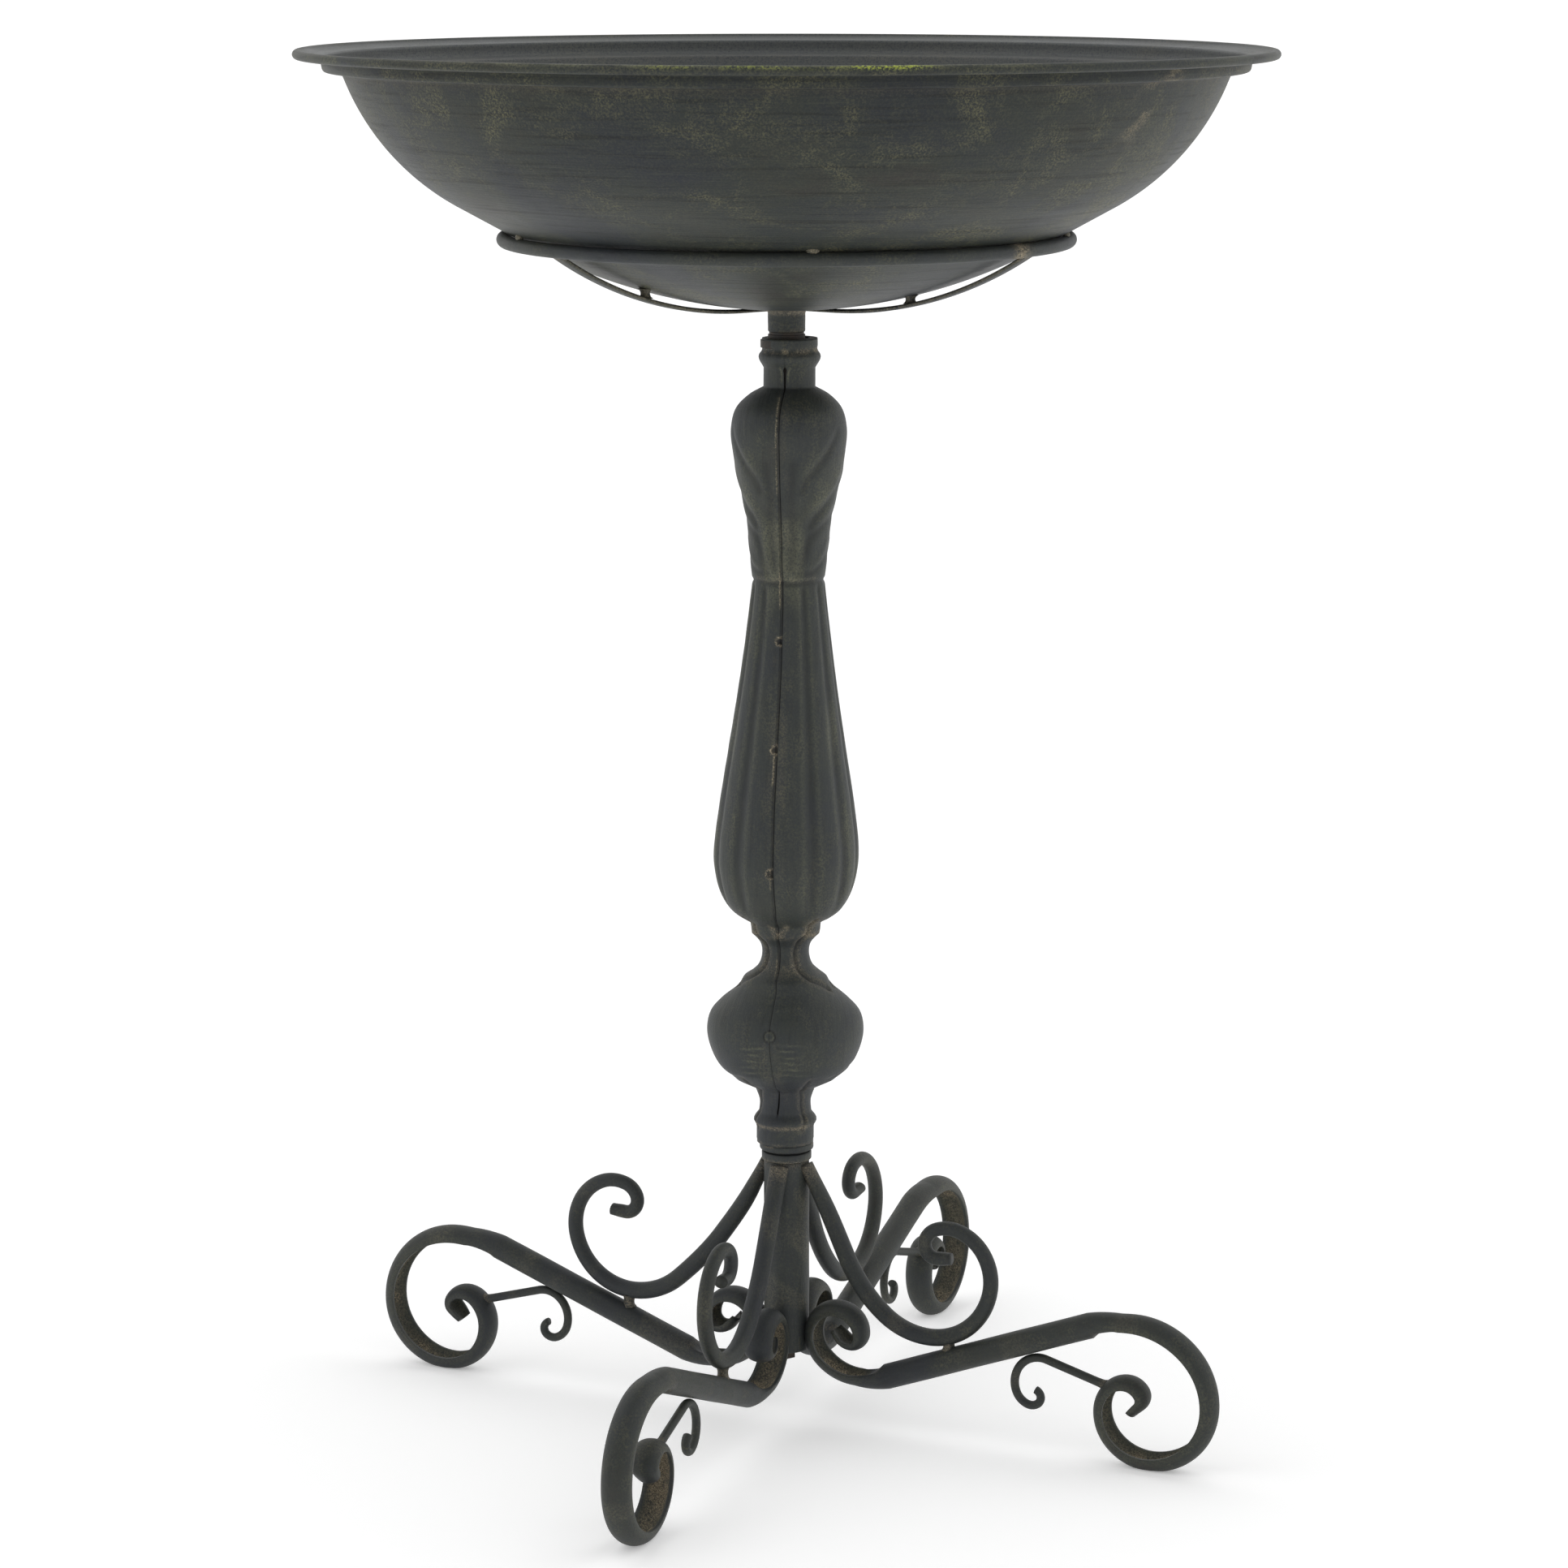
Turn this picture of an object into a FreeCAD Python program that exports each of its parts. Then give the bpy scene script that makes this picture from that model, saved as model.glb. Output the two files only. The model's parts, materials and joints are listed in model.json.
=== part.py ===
import FreeCAD, Part
import math
import os
import Sketcher

# Bird bath: a wide pressed-steel basin on a welded cradle, dropped into a baluster column
# that stands on four scrolled tube legs.
# Frame: +Z up, origin on the column axis at the floor, +X along the first leg.

Vector = FreeCAD.Vector
Rotation = FreeCAD.Rotation
Placement = FreeCAD.Placement

doc = FreeCAD.newDocument("bird_bath")
sheet = doc.addObject("Spreadsheet::Sheet", "dims")

DIMENSIONS = {
    # basin
    "rim_radius": 330.0, "rim_bead_radius": 3.2, "rim_height": 954.0, "sheet_thickness": 1.5,
    "flange_drop": 1.0, "band_radius": 311.0, "ledge_rise": 4.5, "ledge_half_step": 1.5,
    "ledge_width": 3.0,
    "bowl_floor_height": 782.5, "bowl_radius": 365.0, "flank_start": 175.0,
    "flank_end": 222.0, "shoulder_radius": 163.3, "bowl_edge_radius": 296.5,
    # cradle under the basin
    "ring_radius": 191.0, "ring_bar_radius": 4.8, "ring_gap": 0.2,
    "strut_width": 12.0, "strut_thickness": 3.0, "strut_start_height": 782.8,
    "strut_flat": 25.0, "strut_end_inset": 2.0, "strut_first_angle": -125.5,
    "strut_count": 3, "strut_weld_overlap": 0.5, "first_strut_skew": 5.5,
    "stub_radius": 3.0, "stub_reach": 30.0,
    "pad_count": 5, "pad_first_angle": -132.5, "pad_radius": 3.0, "pad_length": 8.0,
    "pad_offset": 2.2,
    # plug-in joint between basin and column
    "sleeve_radius": 12.7, "sleeve_bottom": 767.3, "bowl_weld_overlap": 2.0,
    "stem_radius": 10.65, "stem_wall": 2.0,
    "stem_bottom": 705.0, "running_clearance": 0.08, "seat_clearance": 0.15,
    "washer_radius": 11.9, "washer_thickness": 1.6,
    # column
    "core_radius": 12.7, "core_bottom": 118.0, "shell_wall": 1.2, "seam_angle": -75.5,
    "centring_thickness": 5.0, "lower_ring_lift": 0.5, "upper_ring_lift": 0.2,
    "column_foot": 200.6,
    "joint_ring_radius": 18.8, "joint_ring_step": 1.4,
    # base post
    "post_radius": 15.9, "post_wall": 2.0, "post_bottom": 50.0, "post_flange_radius": 17.4,
    "post_flange_bottom": 188.0, "post_flange_top": 194.2, "bush_length": 40.0,
    "cap_thickness": 6.0, "bolt_radius": 4.0, "bolt_head_radius": 6.5, "bolt_head_height": 5.3,
    "bolt_washer_radius": 8.0, "bolt_washer_thickness": 1.6, "plug_length": 14.0,
    "bolt_end": 128.0,
    # legs
    "leg_count": 4, "last_leg_skew": 4.0, "leg_slope_deg": 20.6,
    "leg_tube_radius": 9.5, "leg_tube_wall": 1.5,
    "leg_mid_radius": 150.0, "leg_mid_height": 65.9, "foot_run": 83.7, "heel_run": 77.2,
    "flattening": 14.0, "strip_half_width": 10.6, "strip_half_thickness": 4.8,
    "vent_radius": 1.5,
    # braces, tie rods and studs
    "brace_bar_radius": 6.25, "brace_start_radius": 15.0, "brace_start_height": 185.0,
    "brace_slope_deg": -62.0, "brace_run": 66.0,
    "tie_bar_radius": 3.0, "tie_start_radius": 245.5, "tie_start_height": 52.8,
    "tie_slope_deg": 164.0, "tie_run": 50.8,
    "stud_radius": 4.0, "stud_position": 124.0, "stud_bottom": 56.0, "stud_top": 74.0,
}

# Successive moves of each scroll: bends as (radius, turn in degrees), left turns positive, and
# straight runs as (length,).
FOOT_BENDS = [(93, -20.6), (57.2, -45), (51.3, -45), (44.4, -45), (44.7, -45), (35.9, -45),
              (31.5, -45), (24.7, -45), (16.7, -45), (13.1, -60), (6.6, -75), (10,)]
HEEL_BENDS = [(66, -20.6), (38, -45), (25, -45), (21.5, -45), (20, -45), (18.5, -45),
              (17.5, -45), (8.5, -45), (7.5, -45), (12, -50), (7,)]
BRACE_BENDS = [(130, 22), (54, 40), (45.5, 40), (46, 40), (38, 40), (33.5, 40), (26.5, 40),
               (14, 45), (10, 50), (9, 70), (10,)]
TIE_BENDS = [(17, 25), (18.6, 50), (20, 50), (14, 50), (8.3, 50), (6, 45), (5.5, 45), (6, 40)]

# Distance of each strut's spacer stub from the axis.
STUB_POSITIONS = (115.0, 95.5, 104.0)

# Block below the floor that cuts a flat under each foot: length, width and depth.
GROUND_BLOCK = (800.0, 100.0, 20.0)

# How far a bore runs past each end of the wall it is cut from.
BORE_OVERRUN = 1.0

# Height at which the column's trimming cylinders end, above everything they trim.
TRIM_TOP = 900.0

# Depth of a leg's drain hole from the middle of the tube, in tube radii.
DRAIN_DEPTH = 1.5

# Outline of the baluster as (radius, height) stations, one list per smooth stretch,
# from the foot ferrule to the top collar.
BALUSTER_STRETCHES = [
    [(19.9, 200.6), (19.9, 211.5)],
    [(19.9, 211.5), (21.9, 217.0), (18.2, 223.0)],
    [(18.2, 223.0), (17.9, 231.0), (20.9, 240.4)],
    [(20.9, 240.4), (35.1, 247.5)],
    [(35.1, 247.5), (46.1, 256.7), (52.8, 270.7), (54.7, 283.0), (48.5, 301.0), (34.7, 312.6)],
    [(34.7, 312.6), (23.0, 321.9), (17.6, 328.2), (16.4, 335.8), (17.4, 343.0), (23.4, 350.5)],
    [(23.4, 350.5), (24.9, 358.0)],
    [(24.9, 358.0), (38.7, 368.0), (45.6, 379.6), (49.8, 396.9), (50.2, 411.0), (47.3, 436.4),
     (39.7, 486.6), (33.3, 528.6), (29.0, 560.7), (24.8, 597.6)],
    [(24.8, 597.6), (26.4, 610.0), (28.1, 630.3), (31.2, 651.0), (35.3, 667.7), (38.4, 686.0),
     (39.6, 701.6), (36.3, 714.9), (27.6, 724.3), (17.7, 730.0)],
    [(17.7, 730.0), (17.7, 743.0)],
    [(17.7, 743.0), (21.2, 750.0), (19.2, 756.5)],
    [(19.2, 756.5), (19.0, 763.0)],
]


def fill_sheet():
    """Write every driving dimension into its own aliased cell."""
    for row, (alias, value) in enumerate(DIMENSIONS.items(), start=1):
        sheet.set("A%d" % row, alias)
        sheet.set("B%d" % row, "%g" % value)
        sheet.setAlias("B%d" % row, alias)
    doc.recompute()


def size(alias):
    """Read one driving dimension back from the sheet."""
    return float(sheet.get(alias))


def bind(obj, **properties):
    """Bind properties of an object to expressions over the sheet."""
    for name, expression in properties.items():
        words = expression.replace("(", " ").replace(")", " ").split()
        for alias in sorted({w for w in words if w in DIMENSIONS}, key=len, reverse=True):
            expression = " ".join("dims." + w if w == alias else w for w in expression.split(" "))
        obj.setExpression(name, expression)
    return obj


def primitive(kind, name, placement=None, **properties):
    """Add a Part primitive with bound sizes and a fixed placement."""
    obj = doc.addObject("Part::" + kind, name)
    bind(obj, **properties)
    if placement:
        obj.Placement = placement
    return obj


def lifted(alias):
    """Placement on the column axis at the height held by one sheet cell."""
    return Placement(Vector(0, 0, size(alias)), Rotation())


def about_axis(angle):
    return Placement(Vector(), Rotation(Vector(0, 0, 1), angle))


def cut(name, base, tool):
    obj = doc.addObject("Part::Cut", name)
    obj.Base = base
    obj.Tool = tool
    return obj


def fuse(name, pieces):
    obj = doc.addObject("Part::MultiFuse", name)
    obj.Shapes = pieces
    return obj


def walk(start, heading_deg, moves, offset=0.0):
    """Follow a chain of runs and bends in the (radius, height) plane.

    A move is (length,) for a straight run or (radius, turn in degrees) for a bend.  The
    offset shifts the whole line sideways, to the left when positive.  Returns the geometry
    and the end point.
    """
    heading = math.radians(heading_deg)
    point = Vector(start[0] - offset * math.sin(heading), start[1] + offset * math.cos(heading))
    geometry = []
    for move in moves:
        if len(move) == 1:
            end = point + Vector(math.cos(heading), math.sin(heading)) * move[0]
            geometry.append(Part.LineSegment(point, end))
        else:
            turn = math.radians(move[1])
            side = math.copysign(1.0, turn)
            radius = move[0] - side * offset
            left = Vector(-math.sin(heading), math.cos(heading))
            centre = point + left * (side * radius)
            first = heading - side * math.pi / 2
            last = first + turn
            circle = Part.Circle(centre, Vector(0, 0, 1), radius)
            geometry.append(Part.ArcOfCircle(circle, min(first, last), max(first, last)))
            heading += turn
            end = centre + Vector(math.cos(last), math.sin(last)) * radius
        point = end
    return geometry, point


def strip_outline(start, heading_deg, moves, thickness):
    """Closed outline of a strip whose middle line is the given walk."""
    half = thickness / 2
    left, left_end = walk(start, heading_deg, moves, half)
    right, right_end = walk(start, heading_deg, moves, -half)
    left_start = walk(start, heading_deg, [], half)[1]
    right_start = walk(start, heading_deg, [], -half)[1]
    caps = [Part.LineSegment(left_start, right_start), Part.LineSegment(left_end, right_end)]
    return left + right + caps


def origin_plane(body, role):
    return next(f for f in body.Origin.OriginFeatures if f.Role == role)


def body_with_sketch(name, geometry, role="XZ_Plane"):
    """PartDesign body that holds one closed sketch on an origin plane."""
    body = doc.addObject("PartDesign::Body", name)
    sketch = body.newObject("Sketcher::SketchObject", name + "_outline")
    sketch.AttachmentSupport = [(origin_plane(body, role), "")]
    sketch.MapMode = "FlatFace"
    sketch.addGeometry(geometry, False)
    doc.recompute()
    return body, sketch


def revolved(name, geometry, angle="360"):
    """Body revolved about the column axis from a (radius, height) outline."""
    body, sketch = body_with_sketch(name, geometry)
    turning = body.newObject("PartDesign::Revolution", name + "_turned")
    turning.Profile = sketch
    turning.ReferenceAxis = (sketch, ["V_Axis"])
    turning.Angle = float(angle)
    doc.recompute()
    return body


def polyline(points, closed=True):
    ends = points[1:] + points[:1] if closed else points[1:]
    return [Part.LineSegment(Vector(*a), Vector(*b)) for a, b in zip(points, ends)]


def side_sketch(name, geometry):
    """Open sketch in the vertical plane through the column axis and +X."""
    sketch = doc.addObject("Sketcher::SketchObject", name)
    sketch.Placement = Placement(Vector(), Rotation(Vector(1, 0, 0), 90))
    sketch.addGeometry(geometry, False)
    return sketch


def across(start, heading_deg):
    """Placement of a section square to a side-plane heading, its own X along +Y."""
    heading = math.radians(heading_deg)
    forward = Vector(math.cos(heading), 0, math.sin(heading))
    sideways = Vector(0, 1, 0)
    turn = Rotation(sideways, forward.cross(sideways), forward, "ZXY")
    return Placement(Vector(start[0], 0, start[1]), turn)


def swept(name, section, path, count):
    """Solid made by carrying one section along a side sketch."""
    obj = doc.addObject("Part::Sweep", name)
    obj.Sections = [section]
    obj.Spine = (path, ["Edge%d" % (k + 1) for k in range(count)])
    obj.Solid = True
    obj.Frenet = False
    return obj


def tube(name, outer, inner, length, bottom):
    """Straight tube on the column axis as one cylinder bored by another."""
    wall = primitive("Cylinder", name + "_outside", Placement(Vector(0, 0, bottom), Rotation()),
                     Radius=outer)
    bore_bottom = Vector(0, 0, bottom - BORE_OVERRUN)
    bore = primitive("Cylinder", name + "_bore", Placement(bore_bottom, Rotation()), Radius=inner)
    wall.Height = length
    bore.Height = length + 2 * BORE_OVERRUN
    return cut(name, wall, bore)


def bowl_centre_height():
    return size("bowl_floor_height") + size("bowl_radius")


def bowl_lean():
    """Slope at which the bowl's round floor runs out into its straight flank."""
    return math.asin(size("flank_start") / size("bowl_radius"))


def flank_height(radius):
    """Height of the flank's outside at a radius."""
    lean = bowl_lean()
    start = bowl_centre_height() - size("bowl_radius") * math.cos(lean)
    return start + (radius - size("flank_start")) * math.tan(lean)


def ring_contact():
    """Radius at which the ring bar comes closest to the flank."""
    reach = size("ring_bar_radius") + size("ring_gap")
    return size("ring_radius") - reach * math.sin(bowl_lean())


def ring_height():
    """Height at which the ring bar clears the flank by the ring gap."""
    reach = size("ring_bar_radius") + size("ring_gap")
    return flank_height(ring_contact()) - reach * math.cos(bowl_lean())


def shoulder_centre():
    """Centre of the shoulder arc, which continues the flank without a kink."""
    lean = bowl_lean()
    start = Vector(size("flank_end"), flank_height(size("flank_end")))
    return start + Vector(-math.sin(lean), math.cos(lean)) * size("shoulder_radius")


def floor_and_flank(shift):
    """Arc of the bowl's floor and line of its flank, moved inwards by the shift."""
    lean = bowl_lean()
    inward = Vector(-math.sin(lean), math.cos(lean)) * shift
    middle = Vector(0, bowl_centre_height())
    circle = Part.Circle(middle, Vector(0, 0, 1), size("bowl_radius") - shift)
    floor = Part.ArcOfCircle(circle, -math.pi / 2, lean - math.pi / 2)
    ends = [Vector(r, flank_height(r)) + inward for r in (size("flank_start"), size("flank_end"))]
    return [floor, Part.LineSegment(*ends)]


def make_basin_block():
    """Space above the outside of the floor and flank, for trimming what touches them."""
    outline = floor_and_flank(0.0)
    top = outline[-1].EndPoint
    middle = Vector(0, top.y)
    bottom = Vector(0, size("bowl_floor_height"))
    outline += [Part.LineSegment(top, middle), Part.LineSegment(middle, bottom)]
    return revolved("basin_block", outline)


def make_basin():
    """Pressed bowl with a stepped band and a rolled bead, one sheet thick."""
    thick = size("sheet_thickness")
    bead = size("rim_bead_radius")
    band = size("band_radius")
    top = size("rim_height")
    centre = shoulder_centre()
    edge = math.acos((size("bowl_edge_radius") - centre.x) / size("shoulder_radius"))
    edge_point = centre + Vector(math.cos(-edge), math.sin(-edge)) * size("shoulder_radius")
    outline = []
    for shift in (0.0, thick):
        circle = Part.Circle(centre, Vector(0, 0, 1), size("shoulder_radius") - shift)
        shoulder = Part.ArcOfCircle(circle, bowl_lean() - math.pi / 2, -edge)
        outline += floor_and_flank(shift) + [shoulder]
    inner_edge = centre + Vector(math.cos(-edge), math.sin(-edge)) * (size("shoulder_radius") - thick)
    ledge_height = edge_point.y + size("ledge_rise")
    ledge_bottom = ledge_height - size("ledge_half_step")
    ledge_top = ledge_height + size("ledge_half_step")
    flange_height = top - size("flange_drop")
    bead_centre = Vector(size("rim_radius") - bead, top)
    lip = math.asin((thick / 2) / bead)
    lower_lip = bead_centre + Vector(-math.cos(lip), -math.sin(lip)) * bead
    upper_lip = bead_centre + Vector(-math.cos(lip), math.sin(lip)) * bead
    ledge_radius = band - size("ledge_width")
    outside = [edge_point, Vector(ledge_radius, ledge_bottom), Vector(band, ledge_top),
               Vector(band, flange_height - thick), lower_lip]
    inside = [inner_edge, Vector(ledge_radius - thick, ledge_bottom + thick),
              Vector(band - thick, ledge_top + thick), Vector(band - thick, flange_height),
              upper_lip]
    for side in (outside, inside):
        outline += [Part.LineSegment(a, b) for a, b in zip(side, side[1:])]
    bead_circle = Part.Circle(bead_centre, Vector(0, 0, 1), bead)
    outline.append(Part.ArcOfCircle(bead_circle, math.pi + lip - 2 * math.pi, math.pi - lip))
    floor_outside = Vector(0, size("bowl_floor_height"))
    outline.append(Part.LineSegment(floor_outside, floor_outside + Vector(0, thick)))
    return revolved("basin", outline)


def strut_start():
    """Inner end of a strut's middle line, just inside the sleeve it is welded to."""
    return size("sleeve_radius") - size("strut_weld_overlap"), size("strut_start_height")


def strut_bend():
    """Radius and turn of the bend that takes a strut from its flat end to the ring."""
    inset = size("strut_end_inset")
    across_gap = size("ring_radius") - inset - strut_start()[0] - size("strut_flat")
    rise = ring_height() - inset / 2 - strut_start()[1]
    turn = 2 * math.atan(rise / across_gap)
    return across_gap / math.sin(turn), turn


def strut_angle(index):
    """Struts stand a third of a turn apart, except the first, which is welded a little round."""
    skew = size("first_strut_skew") if index == 0 else 0.0
    return size("strut_first_angle") + index * 360.0 / size("strut_count") + skew


def make_stub(index, stub_trims):
    """Spacer stub that stands on a strut and reaches up to the bowl."""
    position = STUB_POSITIONS[index]
    radius = strut_bend()[0]
    along_bend = position - strut_start()[0] - size("strut_flat")
    height = strut_start()[1] + radius - math.sqrt(radius ** 2 - along_bend ** 2)
    bar = primitive("Cylinder", "stub_bar_%d" % (index + 1),
                    Placement(Vector(position, 0, height), Rotation()),
                    Radius="stub_radius", Height="stub_reach")
    stub = cut("stub_%d" % (index + 1), bar, stub_trims)
    stub.Placement = about_axis(strut_angle(index))
    return stub


def make_cradle(basin_block):
    """Ring, struts, spacer stubs and pads that carry the basin."""
    ring = primitive("Torus", "support_ring", Placement(Vector(0, 0, ring_height()), Rotation()),
                     Radius1="ring_radius", Radius2="ring_bar_radius")
    radius, turn = strut_bend()
    moves = [(size("strut_flat"),), (radius, math.degrees(turn))]
    outline = strip_outline(strut_start(), 0.0, moves, size("strut_thickness"))
    blank, sketch = body_with_sketch("strut_blank", outline)
    pad = blank.newObject("PartDesign::Pad", "strut_blank_pad")
    pad.Profile = sketch
    pad.Midplane = True
    bind(pad, Length="strut_width")
    sleeve_space = primitive("Cylinder", "strut_inner_trim", lifted("sleeve_bottom"),
                             Radius="sleeve_radius")
    sleeve_space.Height = TRIM_TOP - size("sleeve_bottom")
    trims = fuse("strut_trims", [ring, sleeve_space, basin_block])
    nodes = [ring]
    stub_cuts = []
    stub_trims = fuse("stub_trims", [blank, basin_block])
    for k in range(int(size("strut_count"))):
        strut = cut("support_strut_%d" % (k + 1), blank, trims)
        strut.Placement = about_axis(strut_angle(k))
        nodes.append(strut)
        stub_cuts.append(make_stub(k, stub_trims))
    stubs = doc.addObject("Part::Compound", "strut_spacers")
    stubs.Links = stub_cuts
    return nodes + [stubs, make_ring_pads(ring, basin_block)], ring


def make_ring_pads(ring, basin_block):
    """Short welded pads that bridge the hairline gap between ring and bowl."""
    lean = bowl_lean()
    contact = ring_contact()
    outward = size("pad_offset")
    spot = Vector(contact + outward * math.cos(lean), 0,
                  flank_height(contact) + outward * math.sin(lean))
    along = Rotation(Vector(0, 0, 1), Vector(0, 1, 0))
    middle = spot - Vector(0, size("pad_length") / 2, 0)
    bar = primitive("Cylinder", "pad_bar", Placement(middle, along),
                    Radius="pad_radius", Height="pad_length")
    trims = fuse("pad_trims", [ring, basin_block])
    pads = []
    for k in range(int(size("pad_count"))):
        pad = cut("pad_%d" % (k + 1), bar, trims)
        pad.Placement = about_axis(size("pad_first_angle") + k * 360.0 / size("pad_count"))
        pads.append(pad)
    group = doc.addObject("Part::Compound", "ring_weld_pads")
    group.Links = pads
    return group


def make_plug_in_joint(basin_block):
    """Sleeve and stem under the basin, and the loose washer they sit on."""
    top = size("bowl_floor_height") + size("bowl_weld_overlap")
    sleeve = tube("sleeve_blank", "sleeve_radius", "stem_radius", top - size("sleeve_bottom"),
                  size("sleeve_bottom"))
    stem = tube("stem_blank", "stem_radius", "stem_radius - stem_wall",
                top - size("stem_bottom"), size("stem_bottom"))
    washer_bottom = size("sleeve_bottom") - size("seat_clearance") - size("washer_thickness")
    washer = tube("seat_washer", "washer_radius", "stem_radius + running_clearance",
                  size("washer_thickness"), washer_bottom)
    return [cut("socket_sleeve", sleeve, basin_block), cut("stem_tube", stem, basin_block)], washer


def shell_geometry(wall):
    """Outline of one pressed baluster shell, its inside following its outside."""
    geometry = []
    for shift in (0.0, wall):
        for stretch in BALUSTER_STRETCHES:
            points = [Vector(r - shift, z) for r, z in stretch]
            if len(points) == 2:
                geometry.append(Part.LineSegment(*points))
            elif len(points) == 3:
                geometry.append(Part.Arc(*points))
            else:
                curve = Part.BSplineCurve()
                curve.interpolate(points)
                geometry.append(curve)
    for radius, height in (BALUSTER_STRETCHES[0][0], BALUSTER_STRETCHES[-1][-1]):
        geometry.append(Part.LineSegment(Vector(radius, height), Vector(radius - wall, height)))
    return geometry


def make_column():
    """Two pressed half shells around a plain core tube, with rings that centre them."""
    core_top = size("sleeve_bottom") - 2 * size("seat_clearance") - size("washer_thickness")
    core = tube("core_tube", "core_radius", "stem_radius + running_clearance",
                core_top - size("core_bottom"), size("core_bottom"))
    shells = []
    for name, turn in (("baluster_shell_right", 0.0), ("baluster_shell_left", 180.0)):
        shell = revolved(name, shell_geometry(size("shell_wall")), "180")
        shell.Placement = about_axis(size("seam_angle") + turn)
        shells.append(shell)
    thick = size("centring_thickness")
    rings = []
    for name, stretch, lift in (
            ("lower_centring_ring", BALUSTER_STRETCHES[0], size("lower_ring_lift")),
            ("upper_centring_ring", BALUSTER_STRETCHES[-1], size("upper_ring_lift"))):
        outer = min(p[0] for p in stretch) - size("shell_wall")
        bottom = stretch[0][1] + lift
        ring = tube(name, "core_radius", "core_radius", thick, bottom)
        ring.Base.setExpression("Radius", None)
        ring.Base.Radius = outer
        rings.append(ring)
    step = size("joint_ring_step")
    lower, upper, foot = size("post_flange_top"), size("column_foot"), size("core_radius")
    joint = revolved("joint_ring", polyline([
        (foot, lower), (size("post_flange_radius") - step, lower),
        (size("post_flange_radius") - step, lower + step), (size("joint_ring_radius"), lower + step),
        (size("joint_ring_radius"), upper), (foot, upper)]))
    return [core] + shells + rings + [joint]


def make_post():
    """Base post with its flange, reducer bush, bottom cap and the bolt that holds the column."""
    bottom, wall = size("post_bottom"), size("post_wall")
    post_inside = size("post_radius") - wall
    length = size("post_flange_bottom") - bottom
    post = tube("base_post", "post_radius", "post_radius - post_wall", length, bottom)
    flange = tube("post_flange", "post_flange_radius", "core_radius",
                  size("post_flange_top") - size("post_flange_bottom"), size("post_flange_bottom"))
    bush = tube("reducer_bush", "post_radius - post_wall", "core_radius", size("bush_length"),
                size("post_flange_bottom") - size("bush_length"))
    cap_top = bottom + size("cap_thickness")
    cap = revolved("bottom_cap", [
        Part.LineSegment(Vector(size("bolt_radius"), bottom), Vector(size("bolt_radius"), cap_top)),
        Part.LineSegment(Vector(size("bolt_radius"), cap_top), Vector(post_inside, cap_top)),
        Part.LineSegment(Vector(post_inside, cap_top), Vector(post_inside, bottom)),
        Part.LineSegment(Vector(post_inside, bottom), Vector(size("bolt_radius"), bottom))])
    washer_bottom = bottom - size("bolt_washer_thickness")
    washer = tube("bolt_washer", "bolt_washer_radius", "bolt_radius",
                  size("bolt_washer_thickness"), washer_bottom)
    head_bottom = washer_bottom - size("bolt_head_height")
    head = primitive("Prism", "bolt_head", Placement(Vector(0, 0, head_bottom), Rotation()),
                     Circumradius="bolt_head_radius", Height="bolt_head_height")
    shank = primitive("Cylinder", "bolt_shank", Placement(Vector(0, 0, washer_bottom), Rotation()),
                      Radius="bolt_radius")
    shank.Height = size("bolt_end") - washer_bottom
    bolt = fuse("column_bolt", [head, shank])
    plug = tube("core_plug", "stem_radius + running_clearance", "bolt_radius",
                size("plug_length"), size("core_bottom"))
    return [post, flange, bush, cap, washer, bolt, plug]


def leg_point(run):
    """Point on the straight stretch of a leg, measured from its middle."""
    slope = math.radians(size("leg_slope_deg"))
    return (size("leg_mid_radius") + run * math.cos(slope),
            size("leg_mid_height") + run * math.sin(slope))


def leg_section(kind, name, run, heading):
    """Round or flattened section of the leg tube, square to the straight stretch."""
    if kind == "round":
        return primitive("Circle", name, across(leg_point(run), heading), Radius="leg_tube_radius")
    return primitive("Ellipse", name, across(leg_point(run), heading),
                     MajorRadius="strip_half_width", MinorRadius="strip_half_thickness")


def make_leg_blank():
    """One tube, round in the middle and flattened into a scroll at each end."""
    slope = size("leg_slope_deg")
    pieces = []
    for end, run, heading, bends in (("foot", size("foot_run"), slope, FOOT_BENDS),
                                     ("heel", -size("heel_run"), slope + 180, HEEL_BENDS)):
        geometry = walk(leg_point(run), heading, bends)[0]
        path = side_sketch(end + "_path", geometry)
        section = leg_section("flat", end + "_section", run, heading)
        pieces.append(swept(end + "_scroll", section, path, len(geometry)))
        round_run = run - math.copysign(size("flattening"), run)
        start = leg_section("round", end + "_round", round_run, heading)
        transition = doc.addObject("Part::Loft", end + "_transition")
        transition.Sections = [start, section]
        transition.Solid = True
        transition.Ruled = True
        pieces.append(transition)
    first = size("flattening") - size("heel_run")
    length = size("foot_run") + size("heel_run") - 2 * size("flattening")
    bar = primitive("Cylinder", "leg_bar", across(leg_point(first), slope),
                    Radius="leg_tube_radius")
    bar.Height = length
    return fuse("leg_blank", pieces + [bar]), first, length


def make_leg_tools(first, length):
    """Bore of the tube, its drain hole and the ground plane that flattens the foot."""
    slope = size("leg_slope_deg")
    bore = primitive("Cylinder", "leg_bore", across(leg_point(first), slope),
                     Radius="leg_tube_radius - leg_tube_wall")
    bore.Height = length
    radius, height = leg_point(0)
    depth = DRAIN_DEPTH * size("leg_tube_radius")
    vent = primitive("Cylinder", "leg_drain", Placement(Vector(radius, 0, height - depth), Rotation()),
                     Radius="vent_radius")
    vent.Height = depth
    ground = doc.addObject("Part::Box", "ground_block")
    ground.Length, ground.Width, ground.Height = GROUND_BLOCK
    ground.Placement = Placement(Vector(0, -ground.Width.Value / 2, -ground.Height.Value), Rotation())
    return fuse("leg_cuts", [bore, vent, ground])


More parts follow.
